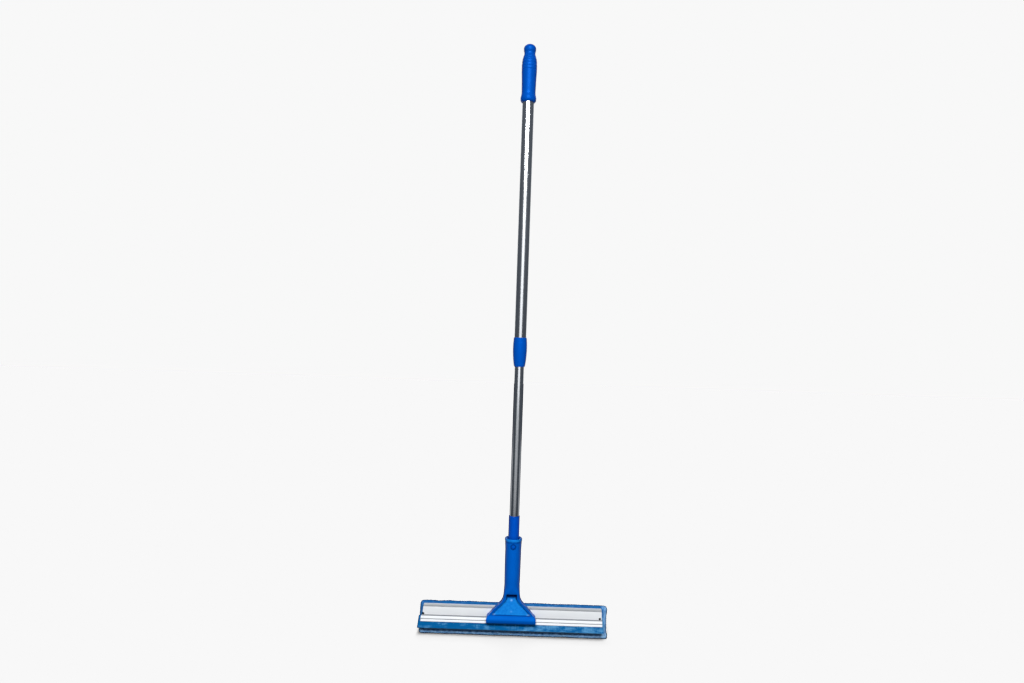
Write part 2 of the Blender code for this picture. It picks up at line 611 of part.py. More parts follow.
def make_head(finish):
    """Moulded head: socket, neck and fan in one piece."""
    head = place("head_body", head_form_mesh(), finish)
    wide = 2 * FAN_HALF_WIDTH
    back = outline_mesh("back_trim", [back_trim()], -wide, wide, ALONG_X)
    cut(head, place("back_trim", back, None, cutter=True))
    cut(head, place("scoop", scoop_mesh(), None, cutter=True))
    mouth = SOCKET_BORE_R + SOCKET_MOUTH_CHAMFER
    bore = [(0.0, SOCKET_TOP_Z + OVERCUT), (mouth, SOCKET_TOP_Z + OVERCUT), (mouth, SOCKET_TOP_Z),
            (SOCKET_BORE_R, SOCKET_TOP_Z - SOCKET_MOUTH_CHAMFER), (SOCKET_BORE_R, SOCKET_FLOOR_Z),
            (SOCKET_CORE_R, SOCKET_FLOOR_Z), (SOCKET_CORE_R, SOCKET_CORE_Z), (0.0, SOCKET_CORE_Z)]
    cut(head, turned("socket_bore", bore, None, cutter=True))
    cut(head, round_cutter("button_hole", BUTTON_HOLE_R, (0.0, -SOCKET_R - OVERCUT, BUTTON_Z),
                           (0, 1, 0), SOCKET_R + OVERCUT))
    for side, x in plate_screw_places():
        start = (x, HOLDER_FRONT + OVERCUT, PLATE_SCREW_UP)
        depth = OVERCUT + PLATE_SCREW_BITE + 2 * FIT
        cut(head, round_cutter("pilot_" + side, PLATE_SCREW_R + FIT, start, (0, -1, 0), depth))
    return head


def make_adapter(finish):
    """Sleeve that grips the inner tube, with a plug that goes into the head's socket."""
    sleeve = ADAPTER_SLEEVE_R
    edge = FIT
    profile = [(sleeve - edge, ADAPTER_TOP_Z), (sleeve, ADAPTER_TOP_Z - edge),
               (sleeve, PLUG_TOP_Z + ADAPTER_NECK_HEIGHT), (PLUG_R, PLUG_TOP_Z),
               (PLUG_R, ADAPTER_Z + 4 * edge), (PLUG_R - 4 * edge, ADAPTER_Z),
               (ADAPTER_CAVITY_R, ADAPTER_Z), (ADAPTER_CAVITY_R, CAVITY_TOP_Z),
               (ADAPTER_VENT_R, CAVITY_TOP_Z), (ADAPTER_VENT_R, TUBE_SEAT_Z),
               (GUIDE_R, TUBE_SEAT_Z), (GUIDE_R, ADAPTER_TOP_Z)]
    adapter = turned("socket_adapter", profile, finish, closed=True)
    cut(adapter, round_cutter("adapter_button_hole", BUTTON_R + FIT, (0.0, -PLUG_R - OVERCUT, BUTTON_Z),
                              (0, 1, 0), PLUG_R + OVERCUT))
    cut(adapter, rivet_hole("adapter_rivet_hole"))
    return adapter


def rivet_hole(name):
    """Hole for the rivet through the front walls of sleeve and tube."""
    return round_cutter(name, RIVET_R + FIT, (0.0, -ADAPTER_SLEEVE_R - OVERCUT, RIVET_Z),
                        (0, 1, 0), ADAPTER_SLEEVE_R - INNER_BORE_R + 2 * OVERCUT)


def make_rivet(finish):
    """Small dark rivet that ties the sleeve to the tube."""
    under = ADAPTER_SLEEVE_R + FIT
    inside = INNER_BORE_R - FIT
    profile = [(0.0, under + RIVET_HEAD_THICK), (RIVET_HEAD_R / 2, under + RIVET_HEAD_THICK),
               (RIVET_HEAD_R, under), (RIVET_R, under), (RIVET_R, inside), (0.0, inside)]
    facing(turned("adapter_rivet", profile, finish, SMALL_STEPS), (0.0, 0.0, RIVET_Z), (0, -1, 0))


def button_flange_front():
    """Distance from the pole's axis to the front of the button's flange, just inside the cavity."""
    inside = ADAPTER_CAVITY_R - FIT
    return math.sqrt(inside * inside - BUTTON_FLANGE_R * BUTTON_FLANGE_R)


def make_button(finish):
    """Round snap button with a flange inside the adapter's cavity."""
    tip = SOCKET_R - BUTTON_SINK
    flange = button_flange_front()
    profile = [(0.0, tip), (BUTTON_R / 2, tip - BUTTON_DOME / 4), (BUTTON_R, tip - BUTTON_DOME),
               (BUTTON_R, flange), (BUTTON_FLANGE_R, flange),
               (BUTTON_FLANGE_R, flange - BUTTON_FLANGE_THICK), (0.0, flange - BUTTON_FLANGE_THICK)]
    facing(turned("lock_button", profile, finish, SMALL_STEPS), (0.0, 0.0, BUTTON_Z), (0, -1, 0))


def ribbon(path, thickness):
    """Outline of a strip of even thickness along a path."""
    left, right = [], []
    for index, point in enumerate(path):
        before = Vector(path[max(index - 1, 0)])
        after = Vector(path[min(index + 1, len(path) - 1)])
        along = (after - before).normalized()
        side = Vector((-along.y, along.x)) * thickness / 2
        left.append(tuple(Vector(point) + side))
        right.append(tuple(Vector(point) - side))
    return left + right[::-1]


def make_leaf_spring(finish):
    """Leaf spring folded like a hairpin: one leg behind the button, one on the cavity's wall."""
    half = LEAF_THICK / 2
    front = -button_flange_front() + BUTTON_FLANGE_THICK + FIT + half
    wall = math.sqrt((ADAPTER_CAVITY_R - FIT) ** 2 - (LEAF_WIDTH / 2) ** 2) - half
    middle = (front + wall) / 2
    low = BUTTON_Z - LEAF_BEND_DROP
    top = BUTTON_Z + LEAF_PAD_HEIGHT / 2
    path = [(front, top), (front, BUTTON_Z - LEAF_PAD_HEIGHT / 2)]
    for index in range(LEAF_BEND_STEPS + 1):
        turn = math.pi * (1.0 + index / LEAF_BEND_STEPS)
        path.append((middle + LEAF_BEND_R * math.cos(turn), low + LEAF_BEND_R * math.sin(turn)))
    path.append((wall, top))
    mesh = outline_mesh("button_spring", [ribbon(path, LEAF_THICK)],
                        -LEAF_WIDTH / 2, LEAF_WIDTH / 2, ALONG_X)
    return place("button_spring", mesh, finish)


def make_inner_tube(finish):
    """Thin aluminium tube with the rivet's hole near its lower end."""
    profile = [(INNER_TUBE_R, INNER_TUBE_TOP_Z), (INNER_TUBE_R, INNER_TUBE_Z),
               (INNER_BORE_R, INNER_TUBE_Z), (INNER_BORE_R, INNER_TUBE_TOP_Z)]
    tube = turned("inner_tube", profile, finish, closed=True)
    cut(tube, rivet_hole("tube_rivet_hole"))
    return tube


def make_outer_tube(finish):
    """Aluminium tube with one rolled groove that is a stop bead inside."""
    outside, inside = [], []
    for up, pressed in ((1, 0), (1, 1), (-1, 1), (-1, 0)):
        z = STOP_BEAD_Z + up * (STOP_BEAD_HALF + (0 if pressed else STOP_BEAD_SLOPE))
        outside.append((OUTER_TUBE_R - pressed * STOP_BEAD_DEPTH, z))
        inside.append((OUTER_BORE_R - pressed * STOP_BEAD_DEPTH, z))
    profile = [(OUTER_TUBE_R, OUTER_TUBE_TOP_Z)] + outside + [(OUTER_TUBE_R, OUTER_TUBE_Z)]
    profile += [(OUTER_BORE_R, OUTER_TUBE_Z)] + inside[::-1] + [(OUTER_BORE_R, OUTER_TUBE_TOP_Z)]
    return turned("outer_tube", profile, finish, closed=True)


def make_bush(finish):
    """Flanged guide bush between the collar's step and the outer tube's end."""
    outer = OUTER_BORE_R - FIT
    flange_top = BUSH_Z + BUSH_FLANGE_THICK
    profile = [(outer, BUSH_Z + BUSH_LENGTH), (outer, flange_top), (COLLAR_BORE_R - FIT, flange_top),
               (COLLAR_BORE_R - FIT, BUSH_Z), (GUIDE_R, BUSH_Z), (GUIDE_R, BUSH_Z + BUSH_LENGTH)]
    return turned("guide_bush", profile, finish, closed=True)


# The collar's outer side: height as a share of its length, and wall over the tube's bore
COLLAR_SIDE = ((1.0, 0.0004), (0.985, 0.0008), (0.96, 0.0009), (0.87, 0.00125), (0.82, 0.0015),
               (0.67, 0.00175), (0.57, 0.00175), (0.43, 0.0014), (0.29, 0.0009), (0.16, 0.0001),
               (0.09, -0.0004), (0.04, -0.0009), (0.015, -0.0014))


def make_collar(finish):
    """Barrel-shaped collar with a step for the bush and a rib in the tube's rolled groove."""
    profile = [(COLLAR_BORE_R + wall, COLLAR_Z + share * COLLAR_LENGTH) for share, wall in COLLAR_SIDE]
    profile += [(GUIDE_R + COLLAR_END_WALL, COLLAR_Z), (GUIDE_R, COLLAR_Z), (GUIDE_R, BUSH_Z - FIT),
                (COLLAR_BORE_R, BUSH_Z - FIT)]
    rib = COLLAR_BORE_R - COLLAR_RIB_REACH
    for up, pressed in ((-1, 0), (-1, 1), (1, 1), (1, 0)):
        z = STOP_BEAD_Z + up * COLLAR_RIB_HALF * (1 if pressed else 2)
        profile.append((rib if pressed else COLLAR_BORE_R, z))
    profile.append((COLLAR_BORE_R, COLLAR_Z + COLLAR_LENGTH))
    return turned("collar", profile, finish, closed=True)


# The grip's outer side: height over its lower end, and wall over the tube's bore
GRIP_SIDE = ((0.0, 0.0006), (0.0010, 0.0017), (0.0027, 0.0026), (0.0047, 0.0032), (0.0087, 0.0033),
             (0.0127, 0.0024), (0.0157, 0.0018), (0.0200, 0.0016), (0.0267, 0.0018),
             (0.0427, 0.0022), (0.0527, 0.0026), (0.0627, 0.0030), (0.0677, 0.0030),
             (0.0717, 0.0028), (0.0757, 0.0026), (0.0797, 0.0021), (0.0827, 0.0016),
             (0.0867, 0.0004), (0.0907, -0.0008), (0.0940, -0.0009), (0.0977, -0.0001),
             (0.0997, 0.0001), (0.1017, 0.0001), (0.1047, -0.0009), (0.1069, -0.0028),
             (0.1090, -0.0056))


def side_at(side, height):
    """Wall at a height, on straight lines between the listed places."""
    for (low, first), (high, second) in zip(side, side[1:]):
        if low <= height <= high:
            return first + (second - first) * (height - low) / (high - low)
    return side[-1][1]


def make_grip(finish):
    """Waisted grip with shallow rings and a knob, closed at its top."""
    points = [(height, wall) for height, wall in GRIP_SIDE]
    for index in range(GRIP_RIB_COUNT):
        middle = GRIP_RIB_FIRST + index * GRIP_RIB_PITCH
        for step, depth in ((-1, 0.0), (0, GRIP_RIB_DEPTH), (1, 0.0)):
            height = middle + step * GRIP_RIB_HALF
            points.append((height, side_at(GRIP_SIDE, height) - depth))
    points = sorted(points, reverse=True)
    profile = [(0.0, GRIP_Z + GRIP_LENGTH)]
    profile += [(GRIP_BORE_R + wall, GRIP_Z + height) for height, wall in points]
    blind = OUTER_TUBE_TOP_Z + FIT
    profile += [(GRIP_BORE_R, GRIP_Z), (GRIP_BORE_R, blind), (0.0, blind)]
    return turned("hand_grip", profile, finish)


def thread_mesh(name, crest, depth, low, high):
    """Right-hand thread as a loft: the radius depends on height less turn, along the pitch."""
    rings = round((high - low) / LOCK_PITCH * LOCK_THREAD_STEPS)

    def build(work):
        layers = []
        for layer in range(rings + 1):
            z = low + (high - low) * layer / rings
            ring = []
            for index in range(SMALL_STEPS):
                turn = index / SMALL_STEPS
                phase = (z / LOCK_PITCH - turn) % 1.0
                radius = crest - depth * min(1.0, 2.0 * abs(2.0 * phase - 1.0))
                ring.append(work.verts.new((radius * math.cos(turn * math.tau),
                                            radius * math.sin(turn * math.tau), z)))
            layers.append(ring)
        for below, above in zip(layers, layers[1:]):
            for index in range(SMALL_STEPS):
                after = (index + 1) % SMALL_STEPS
                work.faces.new((below[index], below[after], above[after]))
                work.faces.new((below[index], above[after], above[index]))
        work.faces.new(layers[0][::-1])
        work.faces.new(layers[-1])
    return mesh_from(name, build)


def make_lock_screw(finish):
    """Plug in the inner tube's end, with a flange and the stud that carries the lock."""
    core = LOCK_STUD_R - LOCK_THREAD_DEPTH
    groove_low = RING_TOP_Z - RING_THICK - FIT
    thread_low = LOCK_Z + LOCK_FLANGE_THICK + STUD_PLAIN
    groove_r = LOCK_STUD_R - RING_BITE - FIT
    profile = [(0.0, STUD_TOP_Z), (LOCK_STUD_R - FIT, STUD_TOP_Z), (LOCK_STUD_R, STUD_TOP_Z - FIT),
               (LOCK_STUD_R, RING_TOP_Z + FIT), (groove_r, RING_TOP_Z + FIT), (groove_r, groove_low),
               (LOCK_STUD_R, groove_low), (LOCK_STUD_R, groove_low - STUD_LAND),
               (core - FIT, groove_low - STUD_LAND), (core - FIT, thread_low), (LOCK_STUD_R, thread_low),
               (LOCK_STUD_R, LOCK_Z + LOCK_FLANGE_THICK), (LOCK_FLANGE_R, LOCK_Z + LOCK_FLANGE_THICK),
               (LOCK_FLANGE_R, LOCK_Z), (INNER_BORE_R - FIT, LOCK_Z),
               (INNER_BORE_R - FIT, LOCK_Z - LOCK_PLUG_DEPTH), (0.0, LOCK_Z - LOCK_PLUG_DEPTH)]
    screw = turned("lock_screw", profile, finish, SMALL_STEPS * 2)
    thread = thread_mesh("stud_thread", LOCK_STUD_R, LOCK_THREAD_DEPTH, thread_low - FIT,
                         groove_low - FIT)
    cut(screw, place("stud_thread", thread, None, cutter=True), "UNION")
    return screw


def cone_radius(height):
    """Radius of the lock's cone at a height over the sleeve's end."""
    slope = (SLEEVE_MOUTH_R - SLEEVE_BORE_R) / (SLEEVE_LENGTH - SLEEVE_CONE_UP)
    return SLEEVE_BORE_R + slope * (height - SLEEVE_CONE_UP)


def make_lock_sleeve(finish):
    """Split sleeve that grips the outer tube's bore when the cone spreads it."""
    outer = OUTER_BORE_R - FIT
    hole = LOCK_STUD_R + FIT
    top = SLEEVE_Z + SLEEVE_LENGTH
    profile = [(outer, top), (outer, SLEEVE_Z), (hole, SLEEVE_Z), (hole, SLEEVE_Z + SLEEVE_FLOOR),
               (SLEEVE_BORE_R, SLEEVE_Z + SLEEVE_FLOOR), (SLEEVE_BORE_R, SLEEVE_Z + SLEEVE_CONE_UP),
               (SLEEVE_MOUTH_R, top)]
    sleeve = turned("lock_sleeve", profile, finish, closed=True)
    half = SLEEVE_SLOT / 2
    low = (0.0, -half, SLEEVE_Z - OVERCUT)
    high = (outer + OVERCUT, half, top + OVERCUT)
    cut(sleeve, box("sleeve_slot", low, high, None, cutter=True))
    return sleeve


def make_cone_nut(finish):
    """Cone-shaped nut with a key in the sleeve's slot and a recess that clears the stud's land."""
    gap = FIT / math.cos(math.atan2(SLEEVE_MOUTH_R - SLEEVE_BORE_R, SLEEVE_LENGTH - SLEEVE_CONE_UP))
    top = NUT_Z + NUT_LENGTH
    mouth = cone_radius(SLEEVE_LENGTH) - gap
    profile = [(0.0, top), (mouth - FIT, top), (mouth, top - FIT), (mouth, SLEEVE_Z + SLEEVE_LENGTH),
               (cone_radius(NUT_UP) - gap, NUT_Z), (0.0, NUT_Z)]
    nut = turned("cone_nut", profile, finish)
    half = SLEEVE_SLOT / 2 - FIT
    low = (LOCK_STUD_R + LOCK_THREAD_DEPTH + 2 * FIT, -half, NUT_Z + FIT)
    high = (NUT_KEY_R, half, SLEEVE_Z + SLEEVE_LENGTH)
    cut(nut, box("nut_key", low, high, None, cutter=True), "UNION")
    thread = thread_mesh("nut_thread", LOCK_STUD_R + FIT, LOCK_THREAD_DEPTH, NUT_Z - OVERCUT,
                         top + OVERCUT)
    cut(nut, place("nut_thread", thread, None, cutter=True))
    recess = FIT + STUD_LAND + FIT
    cut(nut, round_cutter("nut_recess", LOCK_STUD_R + FIT, (0.0, 0.0, top - recess), (0, 0, 1),
                          recess + OVERCUT))
    return nut


def make_ring(finish):
    """Spring ring in the stud's groove that keeps the nut on the stud."""
    inner = LOCK_STUD_R - RING_BITE
    low = RING_TOP_Z - RING_THICK
    profile = [(RING_R, RING_TOP_Z), (RING_R, low), (inner, low), (inner, RING_TOP_Z)]
    return turned("retaining_ring", profile, finish, SMALL_STEPS, closed=True)


def make_tape(finish):
    """Hook tape stuck on the holder's back, over the screws."""
    top = HOLDER_TOP_Z - TAPE_TOP_MARGIN
    low = (HOLDER_LEFT + TAPE_END_MARGIN, TAPE_FRONT, top - TAPE_HEIGHT)
    high = (HOLDER_RIGHT - TAPE_END_MARGIN, TAPE_FRONT + TAPE_THICK, top)
    return box("hook_strip", low, high, finish)


def pad_spans(margin):
    """x and z limits of the pad, drawn in by a margin."""
    return ((PAD_LEFT + margin, PAD_RIGHT - margin), (PAD_BOTTOM_Z + margin, PAD_TOP_Z - margin))


def make_pad_cover(finish):
    """Fibre cover: a crowned cushion with drawn-in sides and an open pocket for the foam."""
    (left, right), (bottom, top) = pad_spans(0.0)
    edge = PAD_RIM / 3

    def build(work):
        bmesh.ops.create_cube(work, size=1.0)
        bmesh.ops.scale(work, vec=(right - left, PAD_THICK, top - bottom), verts=work.verts)
        bmesh.ops.translate(work, vec=(PAD_MIDDLE, (PAD_FRONT + PAD_BACK) / 2, (top + bottom) / 2),
                            verts=work.verts)
        columns = 8
        for index in range(columns + 1):
            x = left + edge + (right - left - 2 * edge) * index / columns
            slice_at(work, (x, 0, 0), (1, 0, 0))
        rows = 5
        for index in range(rows + 1):
            z = bottom + edge + (top - bottom - 2 * edge) * index / rows
            slice_at(work, (0, 0, z), (0, 0, 1))
        for y in (PAD_FRONT + edge / 2, PAD_BACK - edge):
            slice_at(work, (0, y, 0), (0, 1, 0))
        for vertex in work.verts:
            crown_vertex(vertex.co, left, right, bottom, top)

    cover = place("pad_cover", mesh_from("pad_cover", build), finish)
    soften = cover.modifiers.new("soften", "SUBSURF")
    soften.levels = 1
    soften.render_levels = 1
    (pocket_left, pocket_right), (pocket_bottom, pocket_top) = pad_spans(PAD_RIM)
    floor = PAD_FRONT + PAD_BACKING_THICK + FIT + PAD_FOAM_THICK + FIT
    low = (pocket_left, PAD_FRONT - OVERCUT, pocket_bottom)
    cut(cover, box("pad_pocket", low, (pocket_right, floor, pocket_top), None, cutter=True))
    return cover


def slice_at(work, point, normal):
    """Add one loop of edges round the cage."""
    parts = work.verts[:] + work.edges[:] + work.faces[:]
    bmesh.ops.bisect_plane(work, geom=parts, plane_co=point, plane_no=normal)


def crown_vertex(place_at, left, right, bottom, top):
    """Raise the back's middle and draw the sides in between the corners."""
    across = 2 * (place_at.x - left) / (right - left) - 1
    up = 2 * (place_at.z - bottom) / (top - bottom) - 1
    depth = (place_at.y - PAD_FRONT) / PAD_THICK
    swell = min(1.0, PAD_FLAT * (1 - across ** 2)) * min(1.0, PAD_FLAT * (1 - up ** 2))
    place_at.y += PAD_CROWN * depth * (swell - 1.0)
    middle = 4 * depth * (1 - depth)
    if abs(across) > 0.999:
        place_at.x -= math.copysign(PAD_DRAW_IN * middle * (1 - up ** 2), across)
    if abs(up) > 0.999:
        place_at.z -= math.copysign(PAD_DRAW_IN * middle * (1 - across ** 2), up)


def make_pad_core(foam_finish, backing_finish):
    """Foam in the cover's pocket, closed by the loop cloth that meets the hook tape."""
    (left, right), (bottom, top) = pad_spans(PAD_RIM + FIT)
    behind = PAD_FRONT + PAD_BACKING_THICK
    box("pad_backing", (left, PAD_FRONT, bottom), (right, behind, top), backing_finish)
    foam = box("pad_foam", (left, behind + FIT, bottom), (right, behind + FIT + PAD_FOAM_THICK, top),
               foam_finish)
    rounding = foam.modifiers.new("rounding", "BEVEL")
    rounding.width = PAD_FOAM_ROUND
    rounding.segments = 2
    rounding.limit_method = "ANGLE"
    return foam


def on_joint(name, location, children):
    """An empty on a joint's axis that carries the pieces that move with it."""
    empty = bpy.data.objects.new(name, None)
    empty.empty_display_size = 0.02
    empty.location = location
    PARTS.objects.link(empty)
    bpy.context.view_layer.update()
    for child in children:
        bpy.data.objects[child].parent = empty
        bpy.data.objects[child].matrix_parent_inverse = empty.matrix_world.inverted()


def main():
    """Make every piece and hang the moving ones on their joints."""
    clear_scene()
    blue = material("blue_plastic", (0.010, 0.090, 0.560), 0.35)
    dark_blue = material("adapter_plastic", (0.008, 0.065, 0.480), 0.35)
    bare = material("bright_aluminium", (0.72, 0.73, 0.75), 0.25, 1.0)
    profile = material("satin_aluminium", (0.70, 0.72, 0.75), 0.40, 1.0)
    rubber = material("blue_rubber", (0.010, 0.150, 0.400), 0.55)
    black = material("black_steel", (0.012, 0.010, 0.008), 0.45, 1.0)
    steel = material("zinc_steel", (0.55, 0.56, 0.58), 0.35, 1.0)
    white = material("white_plastic", (0.75, 0.75, 0.73), 0.45)
    tape = material("hook_tape", (0.030, 0.030, 0.035), 0.80)
    fibre = material("blue_fibre", (0.060, 0.200, 0.440), 0.95)
    loop = material("loop_cloth", (0.100, 0.250, 0.500), 0.95)
    foam = material("white_foam", (0.70, 0.70, 0.66), 0.90)

    make_grip(blue)
    make_outer_tube(bare)
    make_collar(blue)
    make_bush(white)
    make_inner_tube(bare)
    make_lock_screw(white)
    make_lock_sleeve(white)
    make_cone_nut(blue)
    make_ring(steel)
    make_adapter(dark_blue)
    make_rivet(black)
    make_button(blue)
    make_leaf_spring(steel)
    make_head(blue)
    make_holder(profile)
    make_blade(rubber)
    make_stop_screws(black)
    make_plate_screws(steel)
    make_tape(tape)
    make_pad_cover(fibre)
    make_pad_core(foam, loop)

    on_joint("telescope_axis", (0.0, 0.0, SLEEVE_Z), ["lock_sleeve"])
    on_joint("nut_axis", (0.0, 0.0, NUT_Z), ["cone_nut"])
    on_joint("button_axis", (0.0, 0.0, BUTTON_Z), ["lock_button"])
    on_joint("pad_peel", (PAD_MIDDLE, PAD_FRONT, 0.0), ["pad_cover", "pad_foam", "pad_backing"])
    twisting = ["inner_tube", "lock_screw", "retaining_ring", "socket_adapter", "adapter_rivet",
                "button_spring", "head_body", "blade_holder", "rubber_blade", "hook_strip"]
    twisting += ["blade_stop_screw_" + side for side, x in stop_screw_places()]
    twisting += ["plate_screw_" + side for side, x in plate_screw_places()]
    on_joint("twist_axis", (0.0, 0.0, LOCK_Z), twisting)

    nut_rise = RING_TOP_Z - RING_THICK - (NUT_Z + NUT_LENGTH)
    print("room above the nut, mm", round(nut_rise * 1000, 2))
    print("pole shortens by, mm", round((COLLAR_Z - ADAPTER_TOP_Z - FIT) * 1000, 1))
    bead_top = STOP_BEAD_Z + STOP_BEAD_HALF + STOP_BEAD_SLOPE
    print("pole lengthens by, mm", round((LOCK_Z - bead_top - FIT) * 1000, 1))


main()
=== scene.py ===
import math

import bmesh
import bpy
import numpy as np
from mathutils.geometry import tessellate_polygon
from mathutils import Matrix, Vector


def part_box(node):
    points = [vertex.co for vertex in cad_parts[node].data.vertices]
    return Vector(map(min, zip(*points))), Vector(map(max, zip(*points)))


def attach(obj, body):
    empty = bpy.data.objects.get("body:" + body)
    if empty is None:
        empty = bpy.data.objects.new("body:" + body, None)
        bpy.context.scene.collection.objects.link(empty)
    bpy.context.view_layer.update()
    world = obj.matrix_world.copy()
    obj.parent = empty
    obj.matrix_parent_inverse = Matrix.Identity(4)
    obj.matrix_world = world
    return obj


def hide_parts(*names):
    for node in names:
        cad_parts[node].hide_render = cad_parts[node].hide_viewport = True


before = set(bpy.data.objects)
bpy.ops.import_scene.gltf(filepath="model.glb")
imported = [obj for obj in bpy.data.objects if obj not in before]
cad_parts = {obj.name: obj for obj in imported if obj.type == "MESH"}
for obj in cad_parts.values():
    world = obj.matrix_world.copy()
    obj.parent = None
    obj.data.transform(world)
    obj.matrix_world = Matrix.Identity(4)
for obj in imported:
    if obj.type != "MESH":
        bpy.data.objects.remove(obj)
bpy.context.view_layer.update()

# Lower pole tube. Thin aluminium tube, cold drawn and left bright; it slides in the upper tube.
# Its lower end is pushed into the adapter, and its upper end carries the twist lock.
# Sizes here and below are in millimetres, in the frame of the CAD part.


def reach(name, axis):
    """Lowest and highest place of a CAD node along axis 0, 1 or 2, in millimetres."""
    return [round(1000 * corner[axis], 3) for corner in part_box(name)]


LOWER_TUBE_R = reach("inner_tube", 0)[1]
LOWER_TUBE_Z = reach("inner_tube", 2)
TUBE_WALL = 0.9
TUBE_EDGE = 0.25


def linear(code):
    """Linear colour of an sRGB hex code: a channel c gives ((c + 0.055) / 1.055) ** 2.4, or c / 12.92 if
    it is dark."""
    c = np.array([int(code[i:i + 2], 16) for i in (0, 2, 4)]) / 255
    c = np.where(c > 0.04045, ((c + 0.055) / 1.055) ** 2.4, c / 12.92)
    return (*c.tolist(), 1.0)


def connect(receiver, links):
    """Leads outputs of other nodes to a node's inputs, each given by name or number."""
    for key, source in links.items():
        receiver.id_data.links.new(source, receiver.inputs[key])


def node(tree, kind, settings={}, links={}, out=0):
    """Adds a shader node and gives one of its outputs. Settings go to its properties or inputs."""
    made = tree.nodes.new("ShaderNode" + kind)
    for key, value in settings.items():
        if isinstance(key, str) and hasattr(made, key):
            setattr(made, key, value)
        else:
            made.inputs[key].default_value = value
    connect(made, links)
    return made.outputs[out]


def new_finish(name, settings):
    """A material with its shader's settings. Gives it, its nodes, its shader and the place on the piece."""
    made = bpy.data.materials.new(name)
    made.use_nodes = True
    tree = made.node_tree
    shader = tree.nodes["Principled BSDF"]
    for key, value in settings.items():
        shader.inputs[key].default_value = value
    return made, tree, shader, node(tree, "TexCoord", out="Object")


def dress(shader, shades, gloss=None, relief=None):
    """Lets patterns steer a shader, each given first in its row: the colour from one sRGB shade to another,
    the roughness from one value to another, and a relief of a strength and a depth in metres. The roughness
    may be followed by the span of its pattern that it answers to. Gives the colour."""
    tree = shader.id_data
    pattern, dark, light = shades
    colour = node(tree, "Mix", {"data_type": "RGBA", 6: linear(dark), 7: linear(light)}, {0: pattern}, 2)
    connect(shader, {"Base Color": colour})
    if gloss:
        pattern, low, high, start, end = (*gloss, 0.0, 1.0)[:5]
        rough = node(tree, "MapRange", {1: start, 2: end, 3: low, 4: high}, {0: pattern})
        connect(shader, {"Roughness": rough})
    if relief:
        pattern, strength, depth = relief
        raised = node(tree, "Bump", {"Strength": strength, "Distance": depth}, {"Height": pattern})
        connect(shader, {"Normal": raised})
    return colour


def curve(a, p, b, t):
    """Curve from a to b that leans towards p: (1-t)(1-t)a + 2t(1-t)p + t t b."""
    return (1 - t) ** 2 * a + 2 * t * (1 - t) * p + t ** 2 * b


def rounded(corners, cut, steps=4):
    """Closed outline with eased corners: a corner p becomes a curve that leans towards it, between the
    points at the cut's length from p, towards the corners on either side."""
    p = np.asarray(corners, float)
    cut = np.broadcast_to(np.asarray(cut, float), len(p))[:, None]
    before, after = np.roll(p, 1, 0) - p, np.roll(p, -1, 0) - p
    a = p + before / np.linalg.norm(before, axis=1, keepdims=True) * cut
    b = p + after / np.linalg.norm(after, axis=1, keepdims=True) * cut
    t = np.linspace(0, 1, steps + 1)[None, :, None]
    return curve(a[:, None], p[:, None], b[:, None], t).reshape(-1, 2)


def skin(grid, wrap_rows=False, wrap_columns=True):
    """Points and four-sided faces of a grid of points, wrapped where it closes on itself."""
    rows, columns = grid.shape[:2]
    index = np.arange(rows * columns).reshape(rows, columns)
    if wrap_rows:
        index = np.concatenate([index, index[:1]])
    if wrap_columns:
        index = np.concatenate([index, index[:, :1]], 1)
    faces = np.stack([index[:-1, :-1], index[:-1, 1:], index[1:, 1:], index[1:, :-1]], -1)
    return grid.reshape(-1, 3), faces.reshape(-1, 4).tolist()


def turned(outline, steps=96, wrap=True):
    """Surface of revolution: a point (r, z) of the outline goes to (r cos a, r sin a, z) at each angle a."""
    a = np.linspace(0, 2 * np.pi, steps, endpoint=False)
    r, z = np.asarray(outline, float).T
    grid = np.stack([np.outer(r, np.cos(a)), np.outer(r, np.sin(a)), np.outer(z, np.ones(steps))], -1)
    return skin(grid, wrap_rows=wrap)


def mesh_of(name, surfaces, crease, weld=2e-6):
    """One mesh in metres from surfaces in millimetres: seams merged, faces outwards, and edges sharp past
    the crease angle."""
    points, faces, first = [], [], 0
    for some_points, some_faces in surfaces:
        points.append(some_points)
        faces += [[first + corner for corner in face] for face in some_faces]
        first += len(some_points)
    mesh = bpy.data.meshes.new(name)
    mesh.from_pydata((np.concatenate(points) / 1000).tolist(), [], faces)
    work = bmesh.new()
    work.from_mesh(mesh)
    if weld:
        bmesh.ops.remove_doubles(work, verts=work.verts, dist=weld)
    bmesh.ops.recalc_face_normals(work, faces=work.faces)
    work.to_mesh(mesh)
    work.free()
    mesh.shade_smooth()
    mesh.set_sharp_from_angle(angle=math.radians(crease))
    return mesh


def piece(name, surfaces, body, stands_for, finish, crease=32.0, weld=2e-6):
    """Makes a visible piece that rides on a body and stands for the CAD nodes named."""
    made = bpy.data.objects.new(name, mesh_of(name, surfaces, crease, weld))
    made.data.materials.append(finish)
    bpy.context.scene.collection.objects.link(made)
    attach(made, body)
    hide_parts(*stands_for)
    return made


# Drawn aluminium, bright: the die leaves fine lines along the tube, so a highlight is a clean white
# strip with a faint lengthwise grain. The real lines are about 0.05 mm apart, and they are drawn at 0.5 mm.
bright_drawn_aluminium, tree, shader, place = new_finish("bright_drawn_aluminium", {"Metallic": 1.0})
along = node(tree, "Mapping", {"Scale": (2000.0, 2000.0, 3.0)}, {"Vector": place})
lines = node(tree, "TexNoise", {"Scale": 1.0, "Detail": 3.0}, {"Vector": along})
smears = node(tree, "TexNoise", {"Scale": 14.0, "Detail": 1.0}, {"Vector": place})
soft = node(tree, "Mix", {"data_type": "FLOAT", 0: 0.45}, {2: lines, 3: smears})
dress(shader, (lines, "CDD1D6", "E4E6E9"), (soft, 0.17, 0.25), (lines, 0.12, 0.00002))

